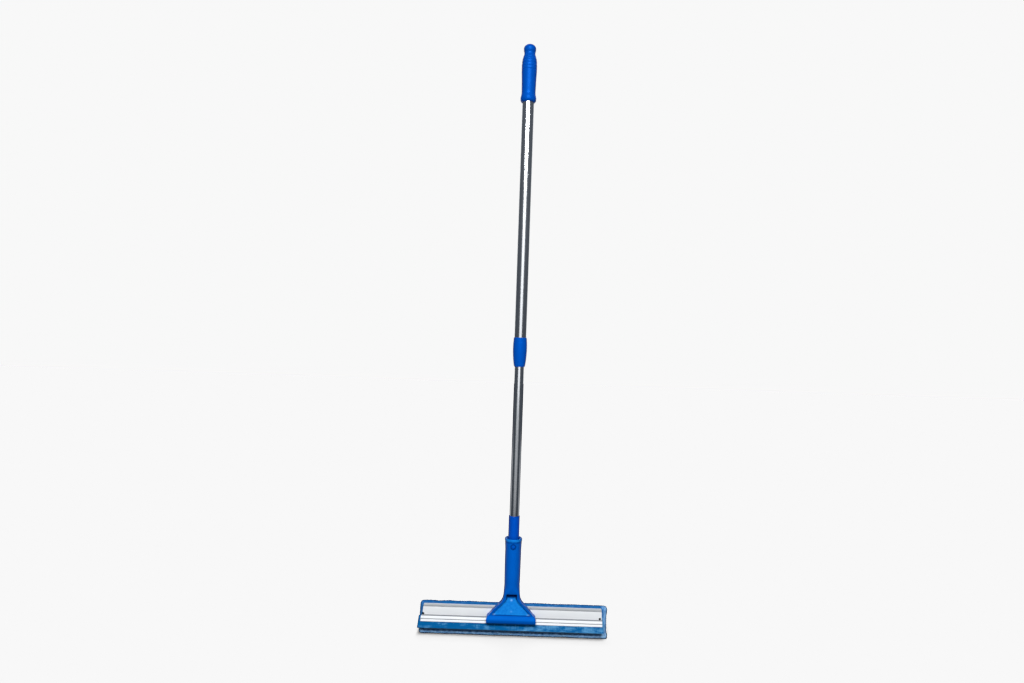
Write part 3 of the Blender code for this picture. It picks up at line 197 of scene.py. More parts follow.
low, high = LOWER_TUBE_Z
bore_r = LOWER_TUBE_R - TUBE_WALL
tube_wall = [(LOWER_TUBE_R, high), (LOWER_TUBE_R, low), (bore_r, low), (bore_r, high)]
piece("lower_pole_tube", [turned(rounded(tube_wall, TUBE_EDGE, 3))], "inner_pole",
      ["inner_tube"], bright_drawn_aluminium)

# Twist lock inside the upper tube: a threaded plug, a split sleeve, a cone nut and a spring ring.
# The plastic pieces are moulded in nylon and the ring is stamped; none shows on the finished pole,
# so the CAD forms stay and only take a finish.

# Nylon, moulded and unpolished: off-white and slightly waxy, with a fine spark-eroded grain of 0.4 mm.
moulded_nylon, tree, shader, place = new_finish("moulded_nylon", {
    "IOR": 1.53, "Subsurface Weight": 0.08, "Subsurface Scale": 0.001})
grains = node(tree, "TexNoise", {"Scale": 2500.0, "Detail": 2.0}, {"Vector": place})
clouds = node(tree, "TexNoise", {"Scale": 130.0, "Detail": 2.0}, {"Vector": place})
dress(shader, (clouds, "DAD8CE", "EFEDE6"), (grains, 0.42, 0.6), (grains, 0.2, 0.00004))

# Zinc-plated steel: a cool, slightly blue metal, clouded at about 3 mm where the plating took unevenly.
zinc_plated_steel, tree, shader, place = new_finish("zinc_plated_steel", {"Metallic": 1.0})
clouds = node(tree, "TexNoise", {"Scale": 330.0, "Detail": 4.0}, {"Vector": place})
dress(shader, (clouds, "B4BAC2", "CFD3D6"), (clouds, 0.24, 0.42))


def coat(names, finish):
    """Gives CAD nodes that stay visible their finish."""
    for name in names:
        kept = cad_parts[name]
        kept.data.materials.clear()
        kept.data.materials.append(finish)


coat(["lock_screw", "lock_sleeve"], moulded_nylon)
coat(["retaining_ring"], zinc_plated_steel)

# Upper pole tube. The same drawn tube, wider, with one groove rolled in near its lower end.
# The collar snaps into the groove, and inside it is a bead that stops the lock from coming out.
UPPER_TUBE_R = reach("outer_tube", 0)[1]
UPPER_TUBE_Z = reach("outer_tube", 2)
GROOVE_Z = 541.0
GROOVE_R = 10.3
GROOVE_FLOOR_HALF = 0.9
GROOVE_MOUTH_HALF = 1.8
GROOVE_BEND = 0.4

low, high = UPPER_TUBE_Z
side = [(UPPER_TUBE_R, high), (UPPER_TUBE_R, GROOVE_Z + GROOVE_MOUTH_HALF),
        (GROOVE_R, GROOVE_Z + GROOVE_FLOOR_HALF), (GROOVE_R, GROOVE_Z - GROOVE_FLOOR_HALF),
        (UPPER_TUBE_R, GROOVE_Z - GROOVE_MOUTH_HALF), (UPPER_TUBE_R, low)]
tube_wall = side + [(r - TUBE_WALL, z) for r, z in side[::-1]]
cuts = [TUBE_EDGE] + [GROOVE_BEND] * 4 + [TUBE_EDGE]
piece("upper_pole_tube", [turned(rounded(tube_wall, cuts + cuts, 3))], "outer_pole",
      ["outer_tube"], bright_drawn_aluminium)

# Guide bush. Ring moulded in nylon that centres the lower tube in the mouth of the upper one.
# The collar holds it there and hides it, so its CAD form stays.
coat(["guide_bush"], moulded_nylon)

# Collar. Barrel-shaped cover moulded in blue polypropylene, snapped over the end of the upper tube.
# It has a faint parting ring near each end, and its lower end closes in on the lower tube.
COLLAR_Z = (493.8, 548.3)
COLLAR_MOUTH_R = 9.5
COLLAR_BORE_R = 11.3
COLLAR_SHOULDER_Z = 508.4
GUIDE_R = 8.9
SNAP_R = 10.65
SNAP_HALF = (0.4, 0.8)
# Shares of the collar's height, and its radius at each.
COLLAR_SIDE = [(0.015, 9.9), (0.04, 10.4), (0.09, 10.9), (0.16, 11.4), (0.29, 12.2), (0.43, 12.7),
               (0.57, 13.05), (0.67, 13.05), (0.82, 12.8), (0.87, 12.55), (0.96, 12.2), (0.985, 12.1),
               (1.0, 11.7)]
COLLAR_LINES = (500.3, 540.6)
COLLAR_LINE_DEPTH = 0.3
COLLAR_LINE_HALF = 0.45


def eased(x, at, value):
    """Smooth curve through values at listed places: a cubic between each two, whose slope at a place is
    the harmonic mean of the slopes on either side, or zero at a turning point, so it never overshoots."""
    at, value = np.asarray(at, float), np.asarray(value, float)
    step = np.diff(at)
    rise = np.diff(value) / step
    slope = np.concatenate([rise[:1], np.zeros(len(at) - 2), rise[-1:]])
    same = rise[:-1] * rise[1:] > 0
    one, two = 2 * step[1:] + step[:-1], step[1:] + 2 * step[:-1]
    one_share, two_share = one / np.where(same, rise[:-1], 1), two / np.where(same, rise[1:], 1)
    slope[1:-1][same] = ((one + two) / (one_share + two_share))[same]
    i = np.clip(np.searchsorted(at, x, side="right") - 1, 0, len(step) - 1)
    t = (np.clip(x, at[0], at[-1]) - at[i]) / step[i]
    return (value[i] * (1 + 2 * t) * (1 - t) ** 2 + value[i + 1] * t * t * (3 - 2 * t)
            + step[i] * (slope[i] * t * (1 - t) ** 2 - slope[i + 1] * t * t * (1 - t)))


def ringed(radius, height, rings, depth, half):
    """Radii with a ring sunk at each place: less depth * exp(-((height - ring) / half) ** 2)."""
    for ring in rings:
        radius = radius - depth * np.exp(-((height - ring) / half) ** 2)
    return radius


# Polypropylene, moulded: a deep clear blue with a soft, slightly greasy shine. The polished mould leaves
# a shallow ripple of about 3 mm, and handling leaves faint scuffs of about 0.8 mm that dull it.
def blue_polypropylene(name, dark, light):
    """Moulded polypropylene between two shades of blue. Gives what new_finish gives, and its blue."""
    made, tree, shader, place = new_finish(name, {"IOR": 1.49, "Specular Tint": linear("1C88F8")})
    ripple = node(tree, "TexNoise", {"Scale": 330.0, "Detail": 1.0}, {"Vector": place})
    clouds = node(tree, "TexNoise", {"Scale": 45.0, "Detail": 3.0}, {"Vector": place})
    scuffs = node(tree, "TexNoise", {"Scale": 1250.0, "Detail": 4.0, "Roughness": 0.6}, {"Vector": place})
    blue = dress(shader, (clouds, dark, light), (scuffs, 0.3, 0.46, 0.3, 0.7), (ripple, 0.25, 0.00005))
    return made, tree, shader, place, blue


royal_polypropylene = blue_polypropylene("royal_blue_polypropylene_moulded", "00409A", "0049A8")[0]

low, high = COLLAR_Z
share = np.linspace(COLLAR_SIDE[0][0], 1.0, 141)
height = low + share * (high - low)
width = ringed(eased(share, *np.transpose(COLLAR_SIDE)), height, COLLAR_LINES, COLLAR_LINE_DEPTH,
               COLLAR_LINE_HALF)
outside = np.stack([width, height], 1)[::-1]
crest_half, foot_half = SNAP_HALF
inside = rounded([(COLLAR_MOUTH_R, low), (GUIDE_R, low), (GUIDE_R, COLLAR_SHOULDER_Z),
                  (COLLAR_BORE_R, COLLAR_SHOULDER_Z), (COLLAR_BORE_R, GROOVE_Z - foot_half),
                  (SNAP_R, GROOVE_Z - crest_half), (SNAP_R, GROOVE_Z + crest_half),
                  (COLLAR_BORE_R, GROOVE_Z + foot_half), (COLLAR_BORE_R, high)], 0.15, 2)
piece("pole_collar", [turned(np.concatenate([outside, inside]))], "outer_pole", ["collar"],
      royal_polypropylene)

# Hand grip. Waisted grip with shallow rings and a knob, moulded in one piece in the same blue and
# pushed over the upper tube's end. Its lower end opens like a bell.
GRIP_Z = 987.6
GRIP_TOP = 108.3
GRIP_BORE_R = 11.3
GRIP_BLIND_Z = 1066.6
# Heights above the grip's lower end, and its radius at each.
GRIP_SIDE = [(0.0, 12.0), (0.8, 12.9), (2.4, 14.0), (4.4, 14.6), (8.0, 14.7), (10.4, 14.3), (12.4, 13.8),
             (15.4, 13.2), (19.4, 13.0), (26.4, 13.2), (42.4, 13.6), (54.4, 14.1), (60.4, 14.3),
             (67.1, 14.3), (71.0, 14.1), (74.9, 13.9), (78.8, 13.5), (81.7, 12.9), (85.6, 11.8),
             (89.5, 10.5), (92.7, 10.3), (96.3, 11.2), (98.2, 11.4), (100.6, 11.5), (103.4, 10.8),
             (105.2, 9.6), (106.8, 7.6)]
GRIP_RINGS = (59.9, 66.2, 72.5, 78.0, 83.3)
GRIP_RING_DEPTH = 0.42
GRIP_RING_HALF = 0.8

height = np.linspace(0.0, GRIP_SIDE[-1][0], 546)
width = ringed(eased(height, *np.transpose(GRIP_SIDE)), height, GRIP_RINGS, GRIP_RING_DEPTH, GRIP_RING_HALF)
turn = np.linspace(0, np.pi / 2, 9)[1:]
shoulder, edge = GRIP_SIDE[-1]
crown = np.stack([edge * np.cos(turn), shoulder + (GRIP_TOP - shoulder) * np.sin(turn)], 1)
outside = np.concatenate([np.stack([width, height], 1), crown])[::-1] + (0, GRIP_Z)
inside = [(GRIP_BORE_R, GRIP_Z), (GRIP_BORE_R, GRIP_BLIND_Z), (0.0, GRIP_BLIND_Z)]
piece("hand_grip_moulding", [turned(np.concatenate([outside, inside]), wrap=False)], "outer_pole",
      ["hand_grip"], royal_polypropylene)

# Cone nut of the lock. Moulded in blue polypropylene, it travels on the plug's stud and spreads the sleeve.
# It is inside the pole, so its CAD form stays.
coat(["cone_nut"], royal_polypropylene)

# Adapter. Blue sleeve riveted to the lower tube's end, with a plug that goes into the head's socket.
# Inside the plug a leaf spring presses the round snap button out through a hole.
ADAPTER_Z = reach("socket_adapter", 2)
SLEEVE_R = 9.6
PLUG_R = reach("socket_adapter", 0)[1]
PLUG_TOP_Z = 168.0
PLUG_CHAMFER = 1.2
SHOULDER_HIGH = 4.0
CAVITY_R = 9.3
CAVITY_TOP_Z = 168.3
DRAIN_R = 3.0
TUBE_SEAT_Z = 174.3
BUTTON_Z = sum(reach("lock_button", 2)) / 2
BUTTON_HOLE_R = 4.2
# Radii of the button, and distances ahead of the pole's axis.
BUTTON_SIDE = [(0.0, 13.8), (1.95, 13.65), (3.9, 13.2), (3.9, 7.65), (4.8, 7.65), (4.8, 6.45), (0.0, 6.45)]

deep_polypropylene = blue_polypropylene("deep_blue_polypropylene_moulded", "003E9E", "0045AA")[0]


def cut_away(made, surfaces, crease=32.0):
    """Takes the form of closed surfaces out of a piece, and keeps what is left as its mesh."""
    tool = bpy.data.objects.new("cutting_form", mesh_of("cutting_form", surfaces, crease))
    bpy.context.scene.collection.objects.link(tool)
    cutting = made.modifiers.new("cutting", "BOOLEAN")
    cutting.operation, cutting.solver, cutting.object = "DIFFERENCE", "EXACT", tool
    left = bpy.data.meshes.new_from_object(made.evaluated_get(bpy.context.evaluated_depsgraph_get()))
    made.modifiers.clear()
    whole, made.data = made.data, left
    bpy.data.meshes.remove(whole)
    bpy.data.meshes.remove(tool.data)
    left.set_sharp_from_angle(angle=math.radians(crease))


def facing_front(surface, at):
    """Turns a surface's upright axis to the front, and moves it: (x, y, z) goes to (x, -z, y)."""
    points, faces = surface
    return np.stack([points[:, 0], -points[:, 2], points[:, 1]], 1) + at, faces


def pin(radius, start, end, steps=48):
    """A plain round pin on its own axis, used as a cutting form."""
    return turned([(0.0, end), (radius, end), (radius, start), (0.0, start)], steps, wrap=False)


low, high = ADAPTER_Z
adapter_wall = [(SLEEVE_R, high), (SLEEVE_R, PLUG_TOP_Z + SHOULDER_HIGH), (PLUG_R, PLUG_TOP_Z),
                (PLUG_R, low + PLUG_CHAMFER), (PLUG_R - PLUG_CHAMFER, low), (CAVITY_R, low),
                (CAVITY_R, CAVITY_TOP_Z), (DRAIN_R, CAVITY_TOP_Z), (DRAIN_R, TUBE_SEAT_Z),
                (GUIDE_R, TUBE_SEAT_Z), (GUIDE_R, high)]
adapter = piece("adapter_sleeve", [turned(rounded(adapter_wall, [0.3, 0.8, 0.8] + [0.3] * 8, 3))],
                "inner_pole", ["socket_adapter"], deep_polypropylene)
cut_away(adapter, [facing_front(pin(BUTTON_HOLE_R, 6.0, 16.0), (0.0, 0.0, BUTTON_Z))])
coat(["button_spring"], zinc_plated_steel)

button = rounded(BUTTON_SIDE, [0.0, 0.8, 0.35, 0.15, 0.15, 0.15, 0.0], 4)
piece("snap_button", [facing_front(turned(button, 64, wrap=False), (0.0, 0.0, BUTTON_Z))], "lock_button",
      ["lock_button"], royal_polypropylene)

# Rivet that ties the adapter to the tube. Steel, with a low domed head, set from the front.
# Its head was touched in with the blue of the sleeve.
RIVET_Z = 212.1
RIVET_R = 1.5
RIVET_RISE = 0.3
SHANK_R = 1.0
SHANK_END = 7.4

# Lacquer over the rivet's head: a hard blue film, glossier than the plastic, with an uneven flow of 1 mm.
blue_lacquered_steel, tree, shader, place = new_finish("blue_lacquered_steel", {
    "Coat Weight": 0.3, "Specular Tint": linear("3094FF")})
flow = node(tree, "TexNoise", {"Scale": 900.0, "Detail": 2.0}, {"Vector": place})
dress(shader, (flow, "002F98", "003CA8"), (flow, 0.3, 0.45))

turn = np.linspace(0, np.pi / 2, 9)
rivet = np.concatenate([np.stack([RIVET_R * np.sin(turn), SLEEVE_R + RIVET_RISE * np.cos(turn)], 1),
                        [(SHANK_R, SLEEVE_R), (SHANK_R, SHANK_END), (0.0, SHANK_END)]])
piece("adapter_rivet_head", [facing_front(turned(rivet, 32, wrap=False), (0.0, 0.0, RIVET_Z))], "inner_pole",
      ["adapter_rivet"], blue_lacquered_steel)

# Blade holder. Extruded aluminium profile, saw-cut at the ends and silver anodised: a slanted channel
# along its foot grips the rubber, and a rolled lip runs along its top. The head is screwed to it.
# Above the channel its ends are cut back a few millimetres, most at the left.
BLADE_LEAN = math.radians(20.0)
HOLDER_X = (-169.2, 171.65)
HOLDER_TOP_Z = 42.6
HOLDER_WALL = 1.2
# Heights, and how far each end is cut back there.
CUT_Z = (8.0, 20.5, 23.5, 37.0, 43.0)
CUT_LEFT = (0.0, 0.0, 3.0, 4.1, 5.2)
CUT_RIGHT = (0.0, 0.0, 1.0, 1.5, 2.2)
LIP_FOOT_Z = 38.9
LIP_OUT = 1.6
# Heights up the leaning blade, and half widths across it.
EXPOSED = 11.4
CHANNEL_HALF = 3.2
CHANNEL_END = 25.5
MOUTH_HALF = 1.5
SLOT_UP = (16.2, 24.3)
SLOT_HALF = 2.0
FOLD_UP = 23.2
LINE_UP = 15.9
LINE_HALF = 0.65
LINE_DEPTH = 0.8
STOP_SCREW_X = (-164.95, 167.05)
STOP_SCREW_R = 2.1
STOP_SCREW_UP = 2.35
PLATE_SCREW_X = (-36.0, 0.0, 36.0)
PLATE_SCREW_Z = 30.0
# Radii of a countersunk hole, and depths from the holder's back.
PLATE_HOLE = [(0.0, 4.0), (7.3, 4.0), (3.3, 0.0), (1.9, -1.4), (1.9, -11.0), (0.0, -11.0)]


def on_blade(up, ahead):
    """(y, z) of a point at a height up the leaning blade and a distance ahead of its middle plane."""
    return (up * math.sin(BLADE_LEAN) - ahead * math.cos(BLADE_LEAN),
            up * math.cos(BLADE_LEAN) + ahead * math.sin(BLADE_LEAN))


def off_blade(y, z):
    """Height up the leaning blade, and distance ahead of its middle plane, of a point (y, z)."""
    return (y * math.sin(BLADE_LEAN) + z * math.cos(BLADE_LEAN),
            z * math.sin(BLADE_LEAN) - y * math.cos(BLADE_LEAN))


def extruded(outlines, places):
    """Closed solid from outlines in (y, z), the first its outside and the rest hollows, carried along x:
    each outline is repeated at each place, and triangles between the outlines close both ends."""
    surfaces = []
    for outline in outlines:
        grid = np.empty((len(places), len(outline), 3))
        grid[..., 0] = np.asarray(places, float)[:, None]
        grid[..., 1:] = outline
        surfaces.append(skin(grid))
    closing = tessellate_polygon([[(0.0, *p) for p in outline] for outline in outlines])
    section = np.concatenate(outlines)
    for x in (places[0], places[-1]):
        surfaces.append((np.insert(section, 0, x, axis=1), [list(face) for face in closing]))
    return surfaces


fold_y, fold_z = on_blade(FOLD_UP, CHANNEL_HALF)
back_y = on_blade(CHANNEL_END, -CHANNEL_HALF)[0]
groove_floor = CHANNEL_HALF - LINE_DEPTH
slot_foot, slot_top = SLOT_UP
channel_front = [(EXPOSED, CHANNEL_HALF), (LINE_UP - LINE_HALF, CHANNEL_HALF),
                 (LINE_UP - LINE_HALF + 0.1, groove_floor), (LINE_UP + LINE_HALF - 0.1, groove_floor),
                 (LINE_UP + LINE_HALF, CHANNEL_HALF), (FOLD_UP - 2.0, CHANNEL_HALF),
                 (FOLD_UP - 1.8, groove_floor)]
plate = [(fold_y + 1.0, fold_z), (fold_y, fold_z + 0.2), (fold_y, LIP_FOOT_Z - 0.7),
         (fold_y + 0.5, LIP_FOOT_Z - 0.5), (fold_y + 0.5, LIP_FOOT_Z), (fold_y, LIP_FOOT_Z),
         (fold_y - LIP_OUT, HOLDER_TOP_Z - 0.9), (fold_y - LIP_OUT + 0.5, HOLDER_TOP_Z),
         (back_y, HOLDER_TOP_Z)]
channel_back = [(CHANNEL_END, -CHANNEL_HALF), (EXPOSED, -CHANNEL_HALF), (EXPOSED, -MOUTH_HALF),
                (slot_foot, -MOUTH_HALF), (slot_foot, -SLOT_HALF), (slot_top, -SLOT_HALF),
                (slot_top, SLOT_HALF), (slot_foot, SLOT_HALF), (slot_foot, MOUTH_HALF), (EXPOSED, MOUTH_HALF)]
corners = [on_blade(*p) for p in channel_front] + plate + [on_blade(*p) for p in channel_back]
cuts = [0.25, 0.15, 0.1, 0.1, 0.15, 0.15, 0.15]
cuts += [0.2, 0.1, 0.1, 0.08, 0.08, 0.2, 0.5, 0.5, 0.9]
cuts += [0.9, 0.25] + [0.1] * 8
near, far = fold_y + HOLDER_WALL, back_y - HOLDER_WALL
ahead = (CHANNEL_END * math.sin(BLADE_LEAN) - near) / math.cos(BLADE_LEAN)
low, high = on_blade(CHANNEL_END, ahead)[1], HOLDER_TOP_Z - HOLDER_WALL
hollow = [(near, low), (near, high), (far, high), (far, low)]

# Anodised aluminium, silver: extruded and etched, so it scatters light almost as evenly as paper does.
# The die leaves lines along the length about 0.3 mm apart, drawn at 0.7 mm. Painted shade darkens the
# grooves' floors and the lip's face.
satin_anodised_aluminium, tree, shader, place = new_finish("satin_anodised_aluminium", {
    "Metallic": 0.15, "Specular IOR Level": 0.2})
along = node(tree, "Mapping", {"Scale": (6.0, 1400.0, 1400.0)}, {"Vector": place})
lines = node(tree, "TexNoise", {"Scale": 1.0, "Detail": 3.0}, {"Vector": along})
clouds = node(tree, "TexNoise", {"Scale": 28.0, "Detail": 3.0}, {"Vector": place})
both = node(tree, "Mix", {"data_type": "FLOAT", 0: 0.5}, {2: lines, 3: clouds})
clean = dress(shader, (both, "D6D9DC", "E5E7E9"), (lines, 0.5, 0.62), (lines, 0.15, 0.00003))
# Painted shade: the marked places are darkened towards this grey.
painted_shade = node(tree, "Attribute", {"attribute_name": "painted_shade"}, out="Fac")
painted_shade_colour = node(tree, "Mix", {"data_type": "RGBA", 7: linear("767A80")}, {0: painted_shade, 6: clean}, 2)
connect(shader, {"Base Color": painted_shade_colour})


def places_of(mesh):
    """The places of a mesh's points, (n, 3), in millimetres."""
    flat = np.empty(3 * len(mesh.vertices))
    mesh.vertices.foreach_get("co", flat)
    return flat.reshape(-1, 3) * 1000


def mark(mesh, name, values):
    """Stores one number for each point of a mesh, for its material to read."""
    mesh.attributes.new(name, "FLOAT", "POINT").data.foreach_set("value", np.asarray(values, float))


left, right = HOLDER_X
surfaces = extruded([rounded(corners, cuts, 4), rounded(hollow, 0.3, 3)], [left, -60.0, 60.0, right])
for points, faces in surfaces:
    x, y, z = points.T
    points[:, 0] += np.where(x < left + 0.1, np.interp(z, CUT_Z, CUT_LEFT), 0.0)
    points[:, 0] -= np.where(x > right - 0.1, np.interp(z, CUT_Z, CUT_RIGHT), 0.0)
holder = piece("holder_profile", surfaces, "inner_pole", ["blade_holder"],
               satin_anodised_aluminium)
for x in STOP_SCREW_X:
    hole = pin(STOP_SCREW_R + 0.15, -fold_y - 2.2, -fold_y + 4.0, 32)
    cut_away(holder, [facing_front(hole, (x, 0.0, fold_z + STOP_SCREW_UP))])
for x in PLATE_SCREW_X:
    points, faces = turned(PLATE_HOLE, 32, wrap=False)
    cut_away(holder, [(points[:, [0, 2, 1]] + (x, back_y, PLATE_SCREW_Z), faces)])

# Painted shade lies full on the floors of the grooves, behind the channel's front face and at the foot of the
# lip, lighter on the lip's face and lighter still on the channel's.
x, y, z = places_of(holder.data).T
up, ahead = off_blade(y, z)
in_line = (abs(up - LINE_UP) < LINE_HALF) & (abs(ahead - groove_floor) < 0.3)
in_fold = (up > FOLD_UP - 1.9) & (z < fold_z + 0.1) & (y < fold_y + 1.2) & (ahead < CHANNEL_HALF - 0.4)
under_lip = (z > LIP_FOOT_Z - 0.6) & (z < LIP_FOOT_Z + 0.05) & (y > fold_y + 0.2) & (y < fold_y + 0.6)
on_lip = (y < fold_y - 0.1) & (z > LIP_FOOT_Z - 0.1)
on_channel = (ahead > CHANNEL_HALF - 0.3) & (up < FOLD_UP - 1.5)
mark(holder.data, "painted_shade", np.where(in_line | in_fold | under_lip, 1.0, 0.6 * on_lip + 0.13 * on_channel))

# Head. Moulded in one piece in the same blue: a fan that sits on the holder's front, with a scooped
# recess under its neck and a rounded bar along its foot, and a socket with a beaded rim for the plug.
# Rows of the bar and the fan, whose back is flat: height, half width, front and front corner.
FAN_ROWS = [(15.0, 46.2, 7.4, 1.2), (15.8, 46.4, 9.2, 1.5), (17.2, 46.4, 10.6, 1.5), (20.0, 46.3, 11.6, 1.5),
            (22.6, 46.0, 11.9, 1.5), (24.0, 46.0, 11.5, 1.5), (28.0, 45.0, 9.9, 1.5), (30.0, 43.2, 9.15, 1.5),
            (30.7, 42.0, 9.0, 1.5), (32.5, 40.3, 9.0, 1.5), (35.0, 38.4, 9.0, 1.5), (45.0, 29.0, 9.0, 1.5)]
FAN_BACK = 6.5
FAN_BACK_CORNER = 1.5
# Rows of the neck: height, half width, front, back, front corner and back corner.
NECK_ROWS = [(52.0, 21.6, 9.0, 7.1, 1.5, 2.0), (54.0, 19.7, 9.0, 7.3, 1.5, 2.2),
             (55.6, 18.6, 9.0, 7.5, 1.5, 2.4), (57.0, 17.9, 9.0, 7.7, 1.5, 2.5),
             (60.0, 16.4, 9.1, 8.2, 1.5, 3.0), (63.0, 15.5, 9.4, 8.8, 1.5, 3.7),
             (66.0, 15.0, 10.0, 9.5, 1.8, 4.5), (69.8, 14.6, 11.1, 10.4, 2.8, 5.8),
             (73.0, 14.4, 12.1, 11.3, 5.2, 7.8), (76.5, 14.2, 12.9, 12.4, 8.6, 10.2),
             (80.0, 14.0, 13.5, 13.3, 11.6, 12.2)]
# Rows of the round socket: height and radius.
SOCKET_ROWS = [(84.0, 13.9), (88.0, 13.7), (90.6, 13.8), (120.0, 14.2), (140.0, 14.3), (152.0, 14.3),
               (160.3, 14.7), (167.2, 15.0)]
BEAD_Z = 171.3
BEAD_HALF = 2.5
BEAD_R = (14.9, 15.6)
SOCKET_MOUTH = (173.6, 13.4)
SOCKET_BORE_R = 12.3
SOCKET_FLOOR_Z = 98.3
CORE_R = 9.5
CORE_FLOOR_Z = 74.3
SCOOP_Z = (30.7, 71.6)
SCOOP_DEPTH = (1.2, 12.0)
SCOOP_EDGE = 0.45
SCOOP_FRONT = -9.0
# The scoop's half width and height: a curve at its lower corner, another between its long and its steep
# side, and its top. A curve has a start, a point that it leans towards, and an end.
SCOOP_CORNER = np.array([(34.1, 30.7), (35.9, 30.7), (35.0, 33.8)])
SCOOP_BEND = np.array([(12.34, 57.2), (10.4, 59.2), (10.23, 61.2)])
SCOOP_TOP = (9.5, 71.6)
SEAT_GAP = 0.3
NO_LIMIT = 99.0

scoop_side = np.concatenate([curve(*SCOOP_CORNER, np.linspace(0, 1, 12)[:, None]),
                             curve(*SCOOP_BEND, np.linspace(0, 1, 9)[:, None]), [SCOOP_TOP]])

# Rows of the head: height, and the greatest depth that the scoop may have there. A quarter circle eases
# the scoop's edge into the fan's front, and another eases its foot into its floor. Two rows stand close
# together at each step of the seat behind.
quarter = np.linspace(0, np.pi / 2, 5)
rising, falling = np.sin(quarter), np.cos(quarter)
foot, top = SCOOP_Z
shallow, deep = SCOOP_DEPTH
neck_end, socket_end = SOCKET_ROWS[0][0], SOCKET_ROWS[-1][0]
seat_steps = np.add.outer((LIP_FOOT_Z - SEAT_GAP, HOLDER_TOP_Z + SEAT_GAP), (-0.001, 0.001)).ravel()
rows = [(z, 0.0) for z in np.linspace(FAN_ROWS[0][0], foot - SCOOP_EDGE, 34)]
rows += zip(foot - SCOOP_EDGE + SCOOP_EDGE * rising, SCOOP_EDGE * (1 - falling))
rows += zip(foot + 0.4 * (1 - falling), shallow - 0.4 + 0.4 * rising)
rows += [(z, NO_LIMIT) for z in np.sort(np.concatenate([np.linspace(foot + 0.5, top - 0.9, 62), seat_steps]))]
rows += zip(top - 0.8 + 0.8 * rising, deep - 0.8 + 0.8 * falling)
rows += zip(top + SCOOP_EDGE * (1 - falling), SCOOP_EDGE * (1 - rising))
rows += [(z, 0.0) for z in np.linspace(top + 0.6, neck_end, 24)]
rows += [(z, 0.0) for z in np.linspace(neck_end + 2.0, socket_end, 41)]
row_z, row_depth = np.array(rows).T
outline = np.array([(z, w, f, FAN_BACK, cf, FAN_BACK_CORNER) for z, w, f, cf in FAN_ROWS] + NECK_ROWS
                   + [(z, r, r, r, r, r) for z, r in SOCKET_ROWS])
sizes = np.stack([eased(row_z, outline[:, 0], outline[:, k]) for k in range(1, 6)], 1)
turn = np.linspace(-np.pi / 2, np.pi / 2, 15)
bead = np.stack([BEAD_Z + BEAD_HALF * np.sin(turn), BEAD_R[0] + (BEAD_R[1] - BEAD_R[0]) * np.cos(turn)], 1)
bore = [SOCKET_MOUTH] + [(z, SOCKET_BORE_R) for z in (172.2, 165.0, 155.0, SOCKET_FLOOR_Z)]
bore += [(SOCKET_FLOOR_Z, CORE_R), (CORE_FLOOR_Z, CORE_R), (CORE_FLOOR_Z, 0.0)]
round_rows = np.concatenate([bead, bore])
row_z = np.concatenate([row_z, round_rows[:, 0]])
row_depth = np.concatenate([row_depth, np.zeros(len(round_rows))])
sizes = np.concatenate([sizes, np.repeat(round_rows[:, 1:], 5, 1)])


def head_half(z, limit, sizes):
    """Right half of each row of the head, from the middle of its front round to the middle of its back.

    A row is a rounded rectangle of half width w, with front f, back b and corner radii cf and cb.
    Across the front the columns follow the scoop: its floor, the quarter circle at its foot, its wall
    and its eased edge, each no deeper than the row allows. Where the row is a circle, all radii are equal."""
    w, f, b, cf, cb = (sizes[:, k:k + 1] for k in range(5))
    inside = np.clip(z, foot, top)
    depth = (shallow + (deep - shallow) * (inside - foot) / (top - foot))[:, None]
    half = np.interp(inside, scoop_side[:, 1], scoop_side[:, 0])[:, None]
    ease = np.minimum(0.8, 0.6 * (depth - SCOOP_EDGE))
    rim = half + SCOOP_EDGE
    reach_x = w - cf + cf * math.sqrt(0.5)
    floor_x = np.linspace(0, 1, 11)[None, :-1] * (half - ease)
    flat_x = rim + (reach_x - rim) * np.linspace(0, 1, 6)[None, 1:]
    x = np.concatenate([floor_x, half - ease + ease * rising, half + SCOOP_EDGE * (1 - falling), flat_x], 1)
    edge = np.broadcast_to(SCOOP_EDGE * (1 - rising), (len(z), 5))
    sunk = np.concatenate([np.broadcast_to(depth, floor_x.shape), depth - ease + ease * falling, edge,
                           np.zeros(flat_x.shape)], 1)
    # From the neck's end up the rows are circles, and all keep the columns' shares of the first one.
    neck = np.argmin(np.abs(z - neck_end))
    x[neck:] = x[neck] / reach_x[neck] * reach_x[neck:]
    arc = np.sqrt(np.maximum(cf ** 2 - np.maximum(x - (w - cf), 0) ** 2, 0))
    y = -(f - cf + arc) + np.minimum(sunk, limit[:, None])
    a = np.linspace(np.pi / 4, np.pi / 2, 7)[None, 1:]
    corner_x, corner_y = w - cf + cf * np.sin(a), -(f - cf) - cf * np.cos(a)
    side_y = -(f - cf) + (b - cb + f - cf) * np.linspace(0, 1, 4)[None, 1:]
    a = np.linspace(0, np.pi / 2, 15)[None, 1:]
    round_x, round_y = w - cb + cb * np.cos(a), b - cb + cb * np.sin(a)
    back_x = (w - cb) * np.linspace(1, 0, 9)[None, 1:]
    return (np.concatenate([x, corner_x, np.broadcast_to(w, side_y.shape), round_x, back_x], 1),
            np.concatenate([y, corner_y, side_y, round_y, np.broadcast_to(b, back_x.shape)], 1))
